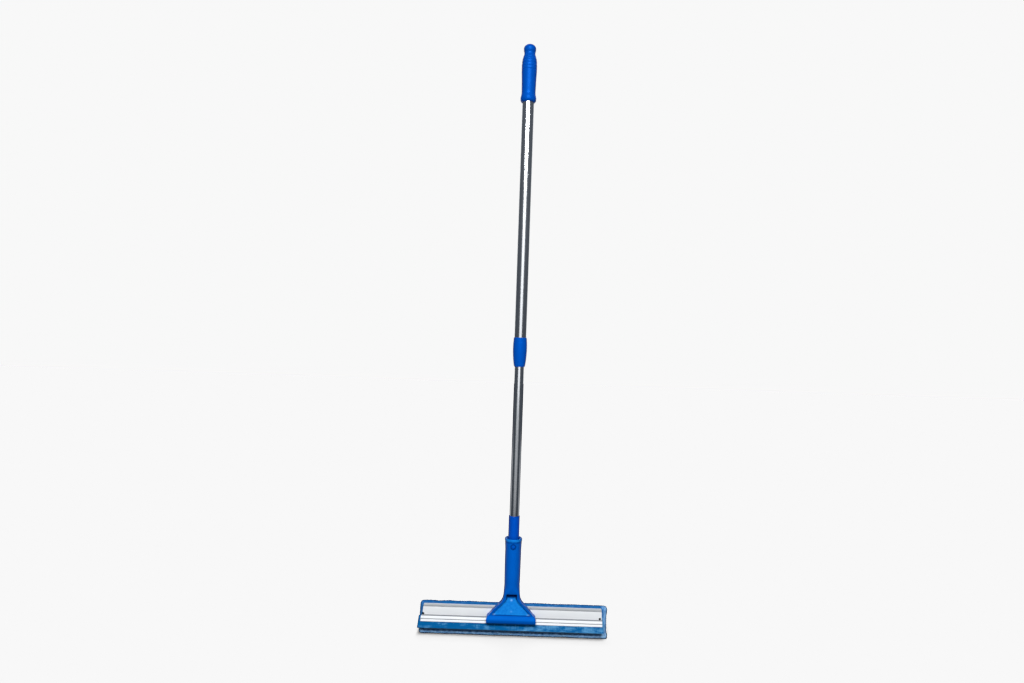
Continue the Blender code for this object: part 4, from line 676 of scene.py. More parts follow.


# The web under the scoop and the socket's rim are painted lighter, a painted glow. Painted shade darkens the
# scoop's corners, the band under its roof, the ring round the button and the band under the rim. Painted
# highlights stand at two spots on the web and at the scoop's lower corners.
head_polypropylene, tree, shader, place, blue = blue_polypropylene(
    "royal_blue_polypropylene_head", "004AA2", "0055B1")
painted_glow, painted_head_shade, painted_glint = (node(tree, "Attribute", {"attribute_name": name}, out="Fac")
                        for name in ("painted_glow", "painted_head_shade", "painted_glint"))
uneven = node(tree, "TexNoise", {"Scale": 260.0, "Detail": 3.0}, {"Vector": place})
share = node(tree, "MapRange", {1: 0.3, 2: 0.62, 3: 0.55, 4: 1.1}, {0: uneven})
glow = node(tree, "Math", {"operation": "MULTIPLY"}, {0: painted_glow, 1: share})
for amount, code in ((glow, "1374C2"), (painted_head_shade, "00104C"), (painted_glint, "8CC0F0")):
    blue = node(tree, "Mix", {"data_type": "RGBA", 7: linear(code)}, {0: amount, 6: blue}, 2)
connect(shader, {"Base Color": blue})

half_x, half_y = head_half(row_z, row_depth, sizes)
# Behind, the fan lies 0.3 mm clear of the holder: slanted at the channel, upright, then stepped at the lip.
seat = np.where(row_z < LIP_FOOT_Z - SEAT_GAP, fold_y - SEAT_GAP, fold_y - LIP_OUT - SEAT_GAP)
start_y, start_z = on_blade(0.0, CHANNEL_HALF + SEAT_GAP)
seat = np.minimum(seat, start_y + (row_z - start_z) * math.tan(BLADE_LEAN))
seat = np.where(row_z > HOLDER_TOP_Z + SEAT_GAP, NO_LIMIT, seat)
half_y = np.minimum(half_y, seat[:, None])
grid = np.empty((len(row_z), 2 * half_x.shape[1] - 2, 3))
grid[..., 0] = np.concatenate([half_x, -half_x[:, -2:0:-1]], 1)
grid[..., 1] = np.concatenate([half_y, half_y[:, -2:0:-1]], 1)
grid[..., 2] = row_z[:, None]
points, faces = skin(grid)
head = piece("head_moulding", [(points, faces + [list(range(grid.shape[1]))])], "inner_pole",
             ["head_body"], head_polypropylene)
cut_away(head, [facing_front(pin(BUTTON_HOLE_R + 0.15, 10.5, 20.0), (0.0, 0.0, BUTTON_Z))])

# Heights of the painted highlights on the web's middle, and the place of those at the scoop's lower corners.
GLINT_Z = (57.2, 37.8)
GLINT_CORNER = (32.6, 32.8)
x, y, z = places_of(head.data).T
side = np.interp(z, scoop_side[:, 1], scoop_side[:, 0])
in_scoop = (z > foot - 0.1) & (z < top + 0.1) & (abs(x) < side + 0.1)
in_scoop &= (y > SCOOP_FRONT + 0.6) & (y < fold_y - 1.9)
on_outside = np.hypot(x, y) > 14.0
# Painted glow on the web, fading at its edges and under its roof, and on the socket's rim.
clear_of_edge = np.clip((side - 1.0 - abs(x)) / 1.2, 0, 1) * np.clip((z - foot - 0.8) / 1.0, 0, 1)
clear_of_roof = np.clip((64.2 - z) / 4.5, 0, 1)
rim = np.clip((z - 168.6) / 1.5, 0, 1) * on_outside
mark(head.data, "painted_glow", np.where(in_scoop, clear_of_edge * clear_of_roof, 0.75 * rim))
# Painted shade round the button and under the rim, and in the scoop's corners and under its roof.
button_ring = 0.8 * (y < -10) * np.clip((5.8 - np.hypot(x, z - BUTTON_Z)) / 1.2, 0, 1)
under_rim = 0.6 * np.clip(1 - abs(z - 167.6) / 1.8, 0, 1) * on_outside
clear_of_corners = np.clip((side - 1.9 - abs(x)) / 1.5, 0, 1) * np.clip((z - foot - 0.8) / 0.6, 0, 1)
in_corners = np.maximum(0.8 * (1 - clear_of_corners), 1 - clear_of_roof)
mark(head.data, "painted_head_shade", np.where(in_scoop, in_corners, np.maximum(button_ring, under_rim)))
# Painted highlights: two spots on the web's middle and one at each of the scoop's lower corners.
upper_glint, lower_glint = (np.exp(-(x ** 2 + (z - pin_z) ** 2) / 2.2) for pin_z in GLINT_Z)
corner_glints = 1.2 * np.exp(-((abs(x) - GLINT_CORNER[0]) / 1.6) ** 2 - ((z - GLINT_CORNER[1]) / 1.0) ** 2)
mark(head.data, "painted_glint", in_scoop * np.clip(upper_glint + 0.2 * lower_glint + corner_glints, 0, 1) * 0.8)

# Screws. Three countersunk steel plate screws hold the head to the holder, under the tape; their CAD forms
# stay. Two black grub screws at the holder's ends pinch the rubber's root, each with a hexagon socket.
coat(["plate_screw_left", "plate_screw_centre", "plate_screw_right"], zinc_plated_steel)
HEXAGON_R = 0.65
RIM_R = 1.3
# Heights of the grub screw's rings over its rim: socket floor, socket edge, rim, chamfer and foot.
RING_UP = (-0.8, -0.8, 0.0, 0.0, -0.2, -1.6, -1.6)

# Blackened steel: an oxide skin in dark brown-grey, a little shiny on the high spots, mottled at 1 mm.
blackened_steel, tree, shader, place = new_finish("blackened_steel", {
    "Metallic": 0.7, "Specular IOR Level": 0.2})
mottle = node(tree, "TexNoise", {"Scale": 1000.0, "Detail": 3.0}, {"Vector": place})
dress(shader, (mottle, "0D0B0A", "1C1916"), (mottle, 0.35, 0.6))


def grub_screw():
    """Short round pin with a hexagon socket, whose radius at angle a is that of its flats divided by
    cos(a modulo 60 degrees, less 30)."""
    a = np.linspace(0, 2 * np.pi, 48, endpoint=False)
    hexagon = HEXAGON_R / np.cos(a % (np.pi / 3) - np.pi / 6)
    circle = np.ones_like(a)
    radius = np.stack([0 * a, hexagon, hexagon, RIM_R * circle, STOP_SCREW_R * circle, STOP_SCREW_R * circle,
                       0 * a])
    return skin(np.stack([radius * np.cos(a), radius * np.sin(a), np.array(RING_UP)[:, None] * circle], -1))


for name, x in zip(("left", "right"), STOP_SCREW_X):
    piece("grub_screw_" + name, [facing_front(grub_screw(), (x, fold_y, fold_z + STOP_SCREW_UP))],
          "inner_pole", ["blade_stop_screw_" + name], blackened_steel)

# Rubber blade. Extruded strip of blue rubber with a thick root, slid into the holder's channel from its end;
# its left end is cut a little skew. Its colour turns paler in patches, and more so towards the right.
BLADE_X = reach("rubber_blade", 0)
BLADE_WIDTH = 21.6
BLADE_HALF = 1.2
ROOT_UP = 16.5
ROOT_HALF = 1.7
BLADE_SKEW = 2.0

# Rubber: dark teal blue and matt; in patches of 5 to 20 mm it turns paler and rougher, more so towards the
# right, and fine streaks of 1 mm run across where it was wiped.
chalky_rubber, tree, shader, place = new_finish("blue_rubber_extruded", {
    "IOR": 1.52, "Specular IOR Level": 0.25, "Specular Tint": linear("4FA8FF")})
stretched = node(tree, "Mapping", {"Scale": (60.0, 160.0, 160.0)}, {"Vector": place})
patches = node(tree, "TexNoise", {"Scale": 1.0, "Detail": 5.0, "Roughness": 0.6}, {"Vector": stretched})
narrowed = node(tree, "Mapping", {"Scale": (900.0, 60.0, 60.0)}, {"Vector": place})
streaks = node(tree, "TexNoise", {"Scale": 1.0, "Detail": 3.0}, {"Vector": narrowed})
across = node(tree, "SeparateXYZ", {}, {0: place}, "X")
toward_right = node(tree, "MapRange", {1: -0.12, 2: 0.10, 3: -0.09, 4: 0.07}, {0: across})
more = node(tree, "Math", {"operation": "ADD"}, {0: patches, 1: toward_right})
both = node(tree, "Mix", {"data_type": "FLOAT", 0: 0.25}, {2: more, 3: streaks})
paleness = node(tree, "MapRange", {1: 0.47, 2: 0.66, 3: 0.0, 4: 0.85}, {0: both})
dress(shader, (paleness, "00548C", "5A98C4"), (paleness, 0.5, 0.8), (streaks, 0.3, 0.00006))

side = [(0.0, BLADE_HALF), (ROOT_UP, BLADE_HALF), (ROOT_UP, ROOT_HALF), (BLADE_WIDTH, ROOT_HALF)]
side += [(up, -ahead) for up, ahead in side[::-1]]
strip = rounded([on_blade(*p) for p in side], [0.12, 0.2, 0.4, 0.4, 0.4, 0.4, 0.2, 0.12], 3)
surfaces = extruded([strip], [BLADE_X[0], *np.linspace(-165, 165, 12), BLADE_X[1]])
for points, faces in surfaces:
    up, ahead = off_blade(points[:, 1], points[:, 2])
    points[:, 0] += np.where(points[:, 0] < BLADE_X[0] + 0.1, BLADE_SKEW * up / BLADE_WIDTH, 0.0)
rubber = piece("wiping_rubber", surfaces, "inner_pole", ["rubber_blade"], chalky_rubber)

# Hook tape. Woven nylon tape glued along the holder's back; its small hooks hold the pad.
# The real hooks stand about 1 mm apart, and they are drawn 2 mm apart.
TAPE_X = reach("hook_strip", 0)
TAPE_Y = 12.03
TAPE_Z = (24.4, 41.8)
TAPE_BASE = 0.55
HOOK_STEP = 2.0
HOOK_UP = (0.0, 0.35, 0.45, 0.75)
HOOK_HALF = (0.16, 0.14, 0.42, 0.2)

# Nylon hook tape: dark grey, plain woven of 0.4 mm threads, which show as a fine cross grain.
woven_hook_tape, tree, shader, place = new_finish("woven_hook_tape", {
    "Roughness": 0.7, "IOR": 1.53, "Sheen Weight": 0.2})
warp, weft = (node(tree, "TexWave", {"wave_type": "BANDS", "bands_direction": way, "Scale": 390.0},
                   {"Vector": place}, "Fac") for way in "XZ")
weave = node(tree, "Math", {"operation": "MULTIPLY"}, {0: warp, 1: weft})
dress(shader, (weave, "24252B", "43454E"), None, (weave, 0.4, 0.0001))


def box_section(y_span, z_span):
    """The four corners of an upright section in (y, z)."""
    (near, far), (low, high) = y_span, z_span
    return [(near, low), (far, low), (far, high), (near, high)]


def scattered(shape, faces, places):
    """Copies of one small shape (n, 3), one at each place (m, 3), as a single surface."""
    points = (np.asarray(places)[:, None] + np.asarray(shape)[None]).reshape(-1, 3)
    first = np.arange(len(places)) * len(shape)
    return points, [[start + corner for corner in face] for start in first.tolist() for face in faces]


face_y = TAPE_Y + TAPE_BASE
strip = rounded(box_section((TAPE_Y, face_y), TAPE_Z), 0.15, 3)
band = piece("hook_tape", extruded([strip], TAPE_X), "inner_pole", ["hook_strip"],
             woven_hook_tape)
square = np.array([(-1, -1), (1, -1), (1, 1), (-1, 1)])
hook = np.concatenate([np.column_stack([square[:, 0] * half, np.full(4, up), square[:, 1] * half])
                       for up, half in zip(HOOK_UP, HOOK_HALF)])
hook_faces = [[4 * k + c, 4 * k + (c + 1) % 4, 4 * k + 4 + (c + 1) % 4, 4 * k + 4 + c]
              for k in range(3) for c in range(4)] + [[3, 2, 1, 0], [12, 13, 14, 15]]
across, up = np.meshgrid(np.arange(TAPE_X[0] + HOOK_STEP, TAPE_X[1] - 1.5, HOOK_STEP),
                         np.arange(TAPE_Z[0] + 1.5, TAPE_Z[1] - 1.0, HOOK_STEP))
across = across + (np.arange(len(across)) % 2)[:, None] * 0.8
places = np.column_stack([across.ravel(), np.full(across.size, face_y), up.ravel()])
hooks = piece("hook_tape_hooks", [scattered(hook, hook_faces, places)], "inner_pole",
              ["hook_strip"], woven_hook_tape)

# Washing pad. A slab of foam in a cover of short-pile microfibre, closed at the front by a loop cloth
# that the hook tape holds. It peels off the holder for washing.
PAD_X = (-172.6, 180.4)
PAD_Y = (13.63, 28.63)
PAD_Z = (-16.5, 43.0)
FOAM_Y = (15.13, 24.13)
CLOTH_X = reach("pad_backing", 0)
CLOTH_Z = reach("pad_backing", 2)
CLOTH_THICK = 0.9

# Polyurethane foam: off-white, with open cells of about 1 mm.
open_cell_foam, tree, shader, place = new_finish("open_cell_foam", {"Roughness": 0.9})
cells = node(tree, "TexVoronoi", {"Scale": 1000.0}, {"Vector": place})
dress(shader, (cells, "BDBBB0", "E9E8E1"), None, (cells, 0.6, 0.0003))

foam_section = rounded(box_section(FOAM_Y, CLOTH_Z), 2.0, 6)
foam = piece("pad_foam_slab", extruded([foam_section], [CLOTH_X[0], 0.0, CLOTH_X[1]]), "pad",
             ["pad_foam"], open_cell_foam)

# Loop cloth: knitted polyester with raised loops of about 1 mm, pale blue, soft and dull.
knitted_loop_cloth, tree, shader, place = new_finish("knitted_loop_cloth", {
    "Roughness": 0.85, "Sheen Weight": 0.4, "Sheen Roughness": 0.5})
loops = node(tree, "TexVoronoi", {"Scale": 900.0}, {"Vector": place})
clouds = node(tree, "TexNoise", {"Scale": 90.0, "Detail": 3.0}, {"Vector": place})
dress(shader, (clouds, "5E88B0", "8CB2D2"), None, (loops, 0.7, 0.0003))

cloth_section = rounded(box_section((PAD_Y[0], PAD_Y[0] + CLOTH_THICK), CLOTH_Z), 0.3, 3)
backing = piece("pad_loop_cloth", extruded([cloth_section], CLOTH_X), "pad", ["pad_backing"],
                knitted_loop_cloth)

# Lockstitch seam, 3 mm long and 1.5 mm inside the loop cloth's edge: polyester thread, smooth, pale blue.
SEAM_IN = 1.5
STITCH_STEP = 3.4
STITCH_ENDS = (-1.5, -1.1, 1.1, 1.5)
STITCH_GIRTH = (0.08, 0.26, 0.26, 0.08)
stitching_thread, tree, shader, place = new_finish("polyester_stitching_thread", {
    "Roughness": 0.45, "IOR": 1.54})
plies = node(tree, "TexWave", {"wave_type": "BANDS", "bands_direction": "DIAGONAL", "Scale": 700.0},
             {"Vector": place}, "Fac")
dress(shader, (plies, "6C9CC6", "A4C8E4"))

a = np.linspace(0, 2 * np.pi, 6, endpoint=False)[None]
ends, girth = np.array(STITCH_ENDS)[:, None], np.array(STITCH_GIRTH)[:, None]
stitch, stitch_faces = skin(np.stack([ends + 0 * a, girth * np.cos(a), girth * np.sin(a)], -1))
stitch_faces += [[5, 4, 3, 2, 1, 0], [18, 19, 20, 21, 22, 23]]
low_x, high_x = CLOTH_X[0] + SEAM_IN, CLOTH_X[1] - SEAM_IN
low_z, high_z = CLOTH_Z[0] + SEAM_IN, CLOTH_Z[1] - SEAM_IN
seam_x, seam_z = np.arange(low_x, high_x, STITCH_STEP), np.arange(low_z, high_z, STITCH_STEP)
stitch_rows = []
for z in (low_z, high_z):
    places = np.stack(np.broadcast_arrays(seam_x, PAD_Y[0], z), 1)
    stitch_rows.append(scattered(stitch, stitch_faces, places))
for x in (low_x, high_x):
    places = np.stack(np.broadcast_arrays(x, PAD_Y[0], seam_z), 1)
    stitch_rows.append(scattered(stitch[:, [2, 1, 0]], stitch_faces, places))
seam = piece("pad_seam_stitches", stitch_rows, "pad", ["pad_backing"], stitching_thread)

# Microfibre cover: split polyester fibres in a short pile, clumped at 3 to 5 mm. The tips are painted paler
# than the roots, with a painted highlight on the tips and painted shade down in the pile. They are painted
# palest at the right end, along the front's foot and at the left end, where the painted light lies.
microfibre_pile, tree, shader, place = new_finish("short_pile_microfibre", {
    "Roughness": 0.9, "Specular IOR Level": 0.12, "Sheen Weight": 0.03, "Sheen Roughness": 0.4,
    "Sheen Tint": linear("9CCBEE")})
fibres = node(tree, "TexNoise", {"Scale": 1100.0, "Detail": 4.0, "Roughness": 0.65}, {"Vector": place})
clumps = node(tree, "TexNoise", {"Scale": 230.0, "Detail": 3.0}, {"Vector": place})
both = node(tree, "Mix", {"data_type": "FLOAT", 0: 0.45}, {2: fibres, 3: clumps})
shade = node(tree, "MapRange", {1: 0.35, 2: 0.65, 3: 0.0, 4: 1.0}, {0: both})
tip, pale = (node(tree, "Attribute", {"attribute_name": name}, out="Fac") for name in ("tip", "pale"))
roots = dress(shader, (shade, "044684", "0E66A8"), None, (both, 0.8, 0.0005))
tips = node(tree, "Mix", {"data_type": "RGBA", 6: linear("0C6CB0"), 7: linear("9CCAF0")}, {0: pale}, 2)
pile_blue = node(tree, "Mix", {"data_type": "RGBA"}, {0: tip, 6: roots, 7: tips}, 2)
connect(shader, {"Base Color": pile_blue})

BLANK_IN = 0.8
BLANK_R = 4.5
SWELL = 1.6
FRAMES = 20
# The holder and the tape lie on the cover's front between these ends, above this height.
BACKED_X = (-167.5, 172.3)
BACKED_Z = 20.0


def rounded_block(low, high, radius, steps=24):
    """A ball pulled apart to the corners of a box: centre + core * sign(n) + radius * n."""
    low, high = np.array(low, float), np.array(high, float)
    up = np.linspace(-np.pi / 2, np.pi / 2, steps)[:, None]
    turn = np.linspace(0, 2 * np.pi, 2 * steps, endpoint=False)[None] + 0.01
    n = np.stack([np.cos(up) * np.cos(turn), np.cos(up) * np.sin(turn), np.sin(up) * np.ones_like(turn)], -1)
    return skin((low + high) / 2 + ((high - low) / 2 - radius) * np.sign(n) + radius * n)


def squares_of(mesh):
    """Points in millimetres and four-sided faces of a mesh made of squares."""
    corners = np.empty(len(mesh.loops), np.int32)
    mesh.loops.foreach_get("vertex_index", corners)
    return places_of(mesh), corners.reshape(-1, 4)


def outward(points, faces):
    """Outward direction at each point: the mean of its faces' own, each the cross of its diagonals."""
    corners = points[faces]
    across = np.cross(corners[:, 2] - corners[:, 0], corners[:, 3] - corners[:, 1])
    total = np.zeros_like(points)
    for k in range(4):
        np.add.at(total, faces[:, k], across)
    return total / np.linalg.norm(total, axis=1, keepdims=True)


def between(value, low, high):
    """Smooth step: 0 up to low and 1 from high, with 3 t t - 2 t t t between."""
    t = np.clip((value - low) / (high - low), 0, 1)
    return t * t * (3 - 2 * t)


def window(value, low, high):
    """Smooth window: 0 from 1.5 outside a span, and 1 from 0.5 inside it."""
    return between(value, low - 1.5, low + 0.5) * between(-value, -high - 1.5, -high + 0.5)


def finished(made):
    """The mesh of an object with its modifiers applied."""
    return bpy.data.meshes.new_from_object(made.evaluated_get(bpy.context.evaluated_depsgraph_get()))


def pressed_out(surface, most):
    """A closed cover as its filling presses it out: rebuilt in squares of 4 mm, its cloth is simulated for
    20 frames with pressure inside and no gravity, and no point may move more than the most given. The filling
    backs the rim, which moves straight outward by the most; hold is 1 there and 0 on the broad faces."""
    blank = bpy.data.objects.new("cover_blank", mesh_of("cover_blank", [surface], 32.0))
    bpy.context.scene.collection.objects.link(blank)
    squares = blank.modifiers.new("squares", "REMESH")
    squares.mode, squares.voxel_size = "VOXEL", 0.004
    blank.data = finished(blank)
    blank.modifiers.clear()
    points, faces = squares_of(blank.data)
    moved = outward(points, faces) * most
    hold = between(np.hypot(moved[:, 0], moved[:, 2]) / most, 0.1, 0.7)
    rim = blank.vertex_groups.new(name="rim")
    for level in range(1, 11):
        rim.add(np.nonzero(np.ceil(hold * 10) == level)[0].tolist(), level / 10, "REPLACE")
    filling = blank.modifiers.new("filling", "CLOTH")
    filling.settings.vertex_group_mass = "rim"
    filling.settings.quality = 6
    filling.settings.use_pressure = True
    filling.settings.uniform_pressure_force = 4.0
    filling.settings.effector_weights.gravity = 0.0
    filling.point_cache.frame_start, filling.point_cache.frame_end = 1, FRAMES
    for number in range(1, FRAMES + 1):
        bpy.context.scene.frame_set(number)
    moved = moved * hold[:, None] + (places_of(finished(blank)) - points) * (1 - hold[:, None])
    bpy.context.scene.frame_set(1)
    bpy.data.objects.remove(blank)
    far = np.linalg.norm(moved, axis=1, keepdims=True)
    return points + moved * np.minimum(1, most / np.maximum(far, 1e-6)), faces


def ripples(points, wave, count, seed):
    """Smooth uneven field about 0: the mean of many plane waves of about one wavelength, with set ways."""
    chance = np.random.default_rng(seed)
    ways = chance.normal(size=(count, 3))
    lengths = wave * chance.uniform(0.8, 1.6, (count, 1))
    ways *= 2 * np.pi / lengths / np.linalg.norm(ways, axis=1, keepdims=True)
    return np.sin(points @ ways.T + chance.uniform(0, 2 * np.pi, count)).sum(1) * math.sqrt(2 / count)


blank_low = (PAD_X[0] + BLANK_IN, PAD_Y[0] + 0.1, PAD_Z[0] + BLANK_IN)
blank_high = (PAD_X[1] - BLANK_IN, PAD_Y[1] - BLANK_IN, PAD_Z[1] - BLANK_IN)
points, faces = pressed_out(rounded_block(blank_low, blank_high, BLANK_R), SWELL)
# Wear: the lower right corner flares, the left end leans out at its foot, the four corners stand out and
# the pile clumps.
x, y, z = points.T
points[:, 0] += (2.6 * between(x, 150, 182) * between(-z, 0, 14)
                 + 0.8 * between(x, 165, 182) * between(z, 28, 42))
points[:, 0] += 1.6 * between(-x, 160, 172) * between(z, 0, 40)
from_x, from_z = x - sum(PAD_X) / 2, z - sum(PAD_Z) / 2
in_corner = between(abs(from_x), 168, 177) * between(abs(from_z), 21, 30)
points += in_corner[:, None] * np.stack([1.6 * np.sign(from_x), 0 * x, 1.2 * np.sign(from_z)], 1)
clumped = 0.13 * ripples(points, 5.0, 60, 3) + 0.22 * ripples(points, 22.0, 40, 4)
points += outward(points, faces) * clumped[:, None]
# Where the loop cloth, the tape and the floor press on it, the cover lies flat.
x, y, z = points.T
under_cloth = window(x, *CLOTH_X) * window(z, *CLOTH_Z)
held_back = window(x, *BACKED_X) * between(z, BACKED_Z, BACKED_Z + 2.0)
pressed = np.maximum(15.0 * under_cloth, 13.6 * held_back)
y = np.where(y < 18, np.maximum(y, pressed), y)
points = np.stack([x, y, np.maximum(z, PAD_Z[0])], 1)
cover = piece("pad_microfibre_cover", [(points, faces.tolist())], "pad", ["pad_cover"],
              microfibre_pile, 180.0)
rounder = cover.modifiers.new("rounder", "SUBSURF")
rounder.levels = rounder.render_levels = 1
cover.data = finished(cover)
cover.modifiers.clear()


def painted_light_share(points):
    """Share of painted light on the fibre tips: most at the right end, then along the front's foot and at the
    left end, uneven all over and slowly rising to the right."""
    x, y, z = points.T
    share = 0.7 * between(x, 168, 178) + 0.35 * between(-x, 165, 171)
    share += 0.75 * between(-z, 3, 10) * between(-y, -21, -16)
    return np.clip(share + 0.12 * ripples(points, 7.0, 40, 5) + 0.1 * between(x, -100, 160), 0, 1)


points, faces = squares_of(cover.data)
# The cover's tips take the share of the painted light, on an uneven base.
mark(cover.data, "tip", 0.2 + 0.2 * ripples(points, 4.0, 40, 6) + 0.6 * painted_light_share(points))
mark(cover.data, "pale", painted_light_share(points))

# The pile: fibres in three-sided tufts about 1 mm long, that lean with the nap and a little at random.
# Tufts are spread evenly over the cover's area, but for where the cloth, the tape or the floor presses.
TUFTS = 30000
TUFT_R = 0.42
TUFT_LONG = (0.45, 1.0)
TUFT_IN = 0.25


def over(value, low, high, spare):
    """Whether a value lies in a span, or past it by less than what is spare."""
    return (value > low - spare) & (value < high + spare)


chance = np.random.default_rng(11)
corners = points[faces]
halves = np.concatenate([corners[:, [0, 1, 2]], corners[:, [0, 2, 3]]])
across = np.cross(halves[:, 1] - halves[:, 0], halves[:, 2] - halves[:, 0])
area = np.linalg.norm(across, axis=1)
ways = across / area[:, None]
x, y, z = halves.mean(1).T
hidden = over(x, *CLOTH_X, 0.8) & over(z, *CLOTH_Z, 0.8) | over(x, *BACKED_X, 0.5) & (z > BACKED_Z)
bare = (ways[:, 1] < -0.5) & hidden | (z < PAD_Z[0] + 0.4)
area = np.where(bare, 0.0, area)
pick = chance.choice(len(halves), TUFTS, p=area / area.sum())
s, t = np.sqrt(chance.random(TUFTS))[:, None], chance.random(TUFTS)[:, None]
root = halves[pick, 0] * (1 - s) + halves[pick, 1] * (s * (1 - t)) + halves[pick, 2] * (s * t)
way = ways[pick]
nap = np.stack([ripples(root, 30.0, 20, 7), np.zeros(TUFTS), ripples(root, 30.0, 20, 8)], 1) * 0.35
lean = way + nap + chance.normal(size=(TUFTS, 3)) * 0.28
lean /= np.linalg.norm(lean, axis=1, keepdims=True)
long = chance.uniform(*TUFT_LONG, TUFTS)
first = np.cross(way, chance.normal(size=(TUFTS, 3)))
first /= np.linalg.norm(first, axis=1, keepdims=True)
second = np.cross(way, first)
base = [root - TUFT_IN * way + TUFT_R * (math.cos(a) * first + math.sin(a) * second)
        for a in (0.0, 2 * math.pi / 3, 4 * math.pi / 3)]
tuft_points = np.stack([*base, root + lean * long[:, None]], 1).reshape(-1, 3)
tuft_points[:, 2] = np.maximum(tuft_points[:, 2], PAD_Z[0] - 0.1)
tuft_sides = np.array([[0, 1, 3], [1, 2, 3], [2, 0, 3], [2, 1, 0]])
tuft_faces = (np.arange(TUFTS)[:, None, None] * 4 + tuft_sides).reshape(-1, 3)
pile = piece("pad_pile_tufts", [(tuft_points, tuft_faces.tolist())], "pad", ["pad_cover"],
             microfibre_pile, 180.0, weld=0)
# Each tuft is painted dark at its root and pale at its tip: painted shade and a painted highlight along the
# fibre.
tuft_painted_light = painted_light_share(tuft_points)
mark(pile.data, "tip", np.maximum(np.tile([0.1, 0.1, 0.1, 1.0], TUFTS), 0.7 * tuft_painted_light))
mark(pile.data, "pale", tuft_painted_light)

# Studio: a pale board floor, a pale backdrop, a broad soft light in front and above, and one behind.
# The camera has the photograph's place and angle: level, turned a little about its own axis.
CAMERA_AT = (-0.01534, -1.309, 0.5405)
CAMERA_ROLL = math.radians(-1.93)
LENS = 24.609
FLOOR_Z = -0.0168
FLOOR_HALF = 8.0

camera = bpy.data.objects.new("camera", bpy.data.cameras.new("camera"))
camera.location = CAMERA_AT
camera.rotation_euler = (math.pi / 2, CAMERA_ROLL, 0.0)
camera.data.lens = LENS
camera.data.sensor_width = 36.0
bpy.context.scene.collection.objects.link(camera)
bpy.context.scene.camera = camera

# Pale matt floor: painted board, with a faint roller mottle of 20 mm. The squeegee stands on it, so it keeps
# with the head as the pole is drawn out or pushed in.
painted_board, tree, shader, place = new_finish("pale_painted_board", {"Roughness": 0.8})
mottle = node(tree, "TexNoise", {"Scale": 50.0, "Detail": 2.0}, {"Vector": place})
dress(shader, (mottle, "C6C7C8", "CECFD0"))
mesh = bpy.data.meshes.new("floor")
mesh.from_pydata([(FLOOR_HALF * x, FLOOR_HALF * y, FLOOR_Z) for x, y in square.tolist()], [], [(0, 1, 2, 3)])
mesh.materials.append(painted_board)
floor = bpy.data.objects.new("floor", mesh)
bpy.context.scene.collection.objects.link(floor)
floor.is_shadow_catcher = True
floor.visible_glossy = False
floor.visible_diffuse = False
floor.visible_shadow = False
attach(floor, "inner_pole")


def soft_light(name, place, aim, size, energy, on_floor=None):
    """A rectangular soft light at a place, aimed at a point. The floor can be kept out of its light
    (EXCLUDE), or be all that it lights (INCLUDE)."""
    lamp = bpy.data.lights.new(name, "AREA")
    lamp.shape, lamp.size, lamp.size_y, lamp.energy = "RECTANGLE", size[0], size[1], energy
    made = bpy.data.objects.new(name, lamp)
    made.location = place
    facing = np.array(aim, float) - np.array(place, float)
    level = math.hypot(facing[0], facing[1])
    heading = math.atan2(facing[1], facing[0]) - math.pi / 2 if level > 0 else 0.0
    made.rotation_euler = (math.atan2(level, -facing[2]), 0.0, heading)
    made.visible_camera = False
    bpy.context.scene.collection.objects.link(made)
    if on_floor:
        lit = bpy.data.collections.new(name + "_on_floor")
        lit.objects.link(floor)
        lit.collection_objects[0].light_linking.link_state = on_floor
        made.light_linking.receiver_collection = lit
    return made


soft_light("key_light", (0.0, -3.2, 2.55), (0.0, 0.0, 0.05), (2.6, 0.72), 200.0, "EXCLUDE")
soft_light("back_light", (0.0, 1.9, 1.25), (0.0, 0.0, 0.8), (2.4, 1.9), 13.0, "EXCLUDE")

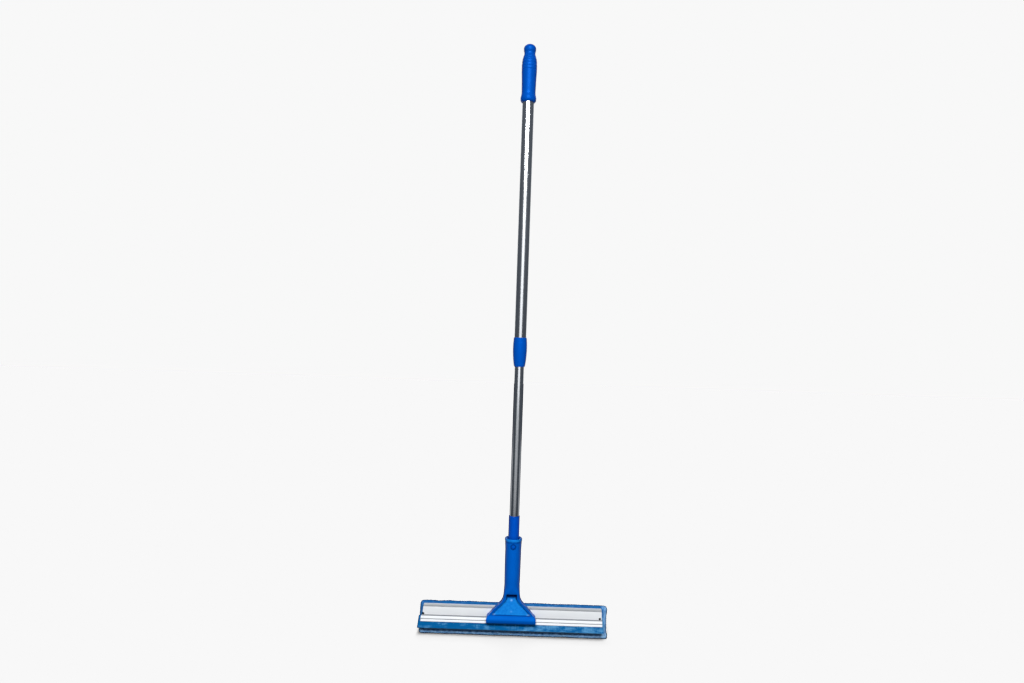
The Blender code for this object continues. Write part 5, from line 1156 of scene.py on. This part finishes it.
# Cards that only the shiny pieces mirror: two in front of the tubes, and one on the floor behind for the
# rims. The floor gives no light back itself, so two more lights stand for what it gives, in front and behind.
tube_card = soft_light("tube_card", (0.0, -1.9, 0.76), (0.0, 0.0, 0.76), (1.6, 1.1), 6.8)
low_card = soft_light("low_tube_card", (0.0, -0.75, 0.105), (0.0, 0.0, 0.105), (1.0, 0.45), 0.5)
floor_card = soft_light("floor_behind_card", (0.0, 1.1, -0.015), (0.0, 1.1, 1.0), (3.4, 1.9), 7.0, "EXCLUDE")
for card in (tube_card, low_card, floor_card):
    card.visible_diffuse = False
floor_fill = soft_light("floor_in_front", (0.0, -0.75, -0.015), (0.0, -0.75, 1.0), (2.4, 1.2), 8.5, "EXCLUDE")
back_fill = soft_light("back_fill", (0.0, 2.4, 0.3), (0.0, 0.0, 0.3), (2.4, 0.6), 45.0, "EXCLUDE")
for fill in (floor_fill, back_fill):
    fill.visible_glossy = False

# The floor takes its soft contact shadow from the two ground lights, which light nothing else. Only the
# pieces that touch or nearly touch the floor block them, so the pole leaves no streak.
low_pieces = bpy.data.collections.new("pieces_by_the_floor")
for made in (cover, pile, rubber, holder):
    low_pieces.objects.link(made)
ground_light = soft_light("ground_light", (0.0, -1.52, 1.86), (0.0, 0.0, 0.0), (0.5, 1.75), 200.0, "INCLUDE")
overhead = soft_light("upper_ground_light", (0.0, 0.0, 2.2), (0.0, 0.0, 0.0), (0.5, 3.0), 20.0, "INCLUDE")
for light in (ground_light, overhead):
    light.light_linking.blocker_collection = low_pieces

# The room: near white to the camera, and to the pieces grey walls that darken towards the floor.
world = bpy.data.worlds.new("studio")
bpy.context.scene.world = world
world.use_nodes = True
tree = world.node_tree
heading = node(tree, "SeparateXYZ", {}, {0: node(tree, "TexCoord", out="Generated")}, "Z")
height = node(tree, "MapRange", {1: -0.35, 2: 0.25, 3: 0.0, 4: 1.0}, {0: heading})
walls = node(tree, "Mix", {"data_type": "RGBA", 6: linear("3A3F46"), 7: linear("585D64")}, {0: height}, 2)
room = node(tree, "Background", {}, {"Color": walls})
backdrop = node(tree, "Background", {"Color": linear("F8F8F8")})
seen = node(tree, "LightPath", out="Is Camera Ray")
connect(tree.nodes["World Output"], {"Surface": node(tree, "MixShader", {}, {0: seen, 1: room, 2: backdrop})})
bpy.context.scene.view_settings.view_transform = "Standard"
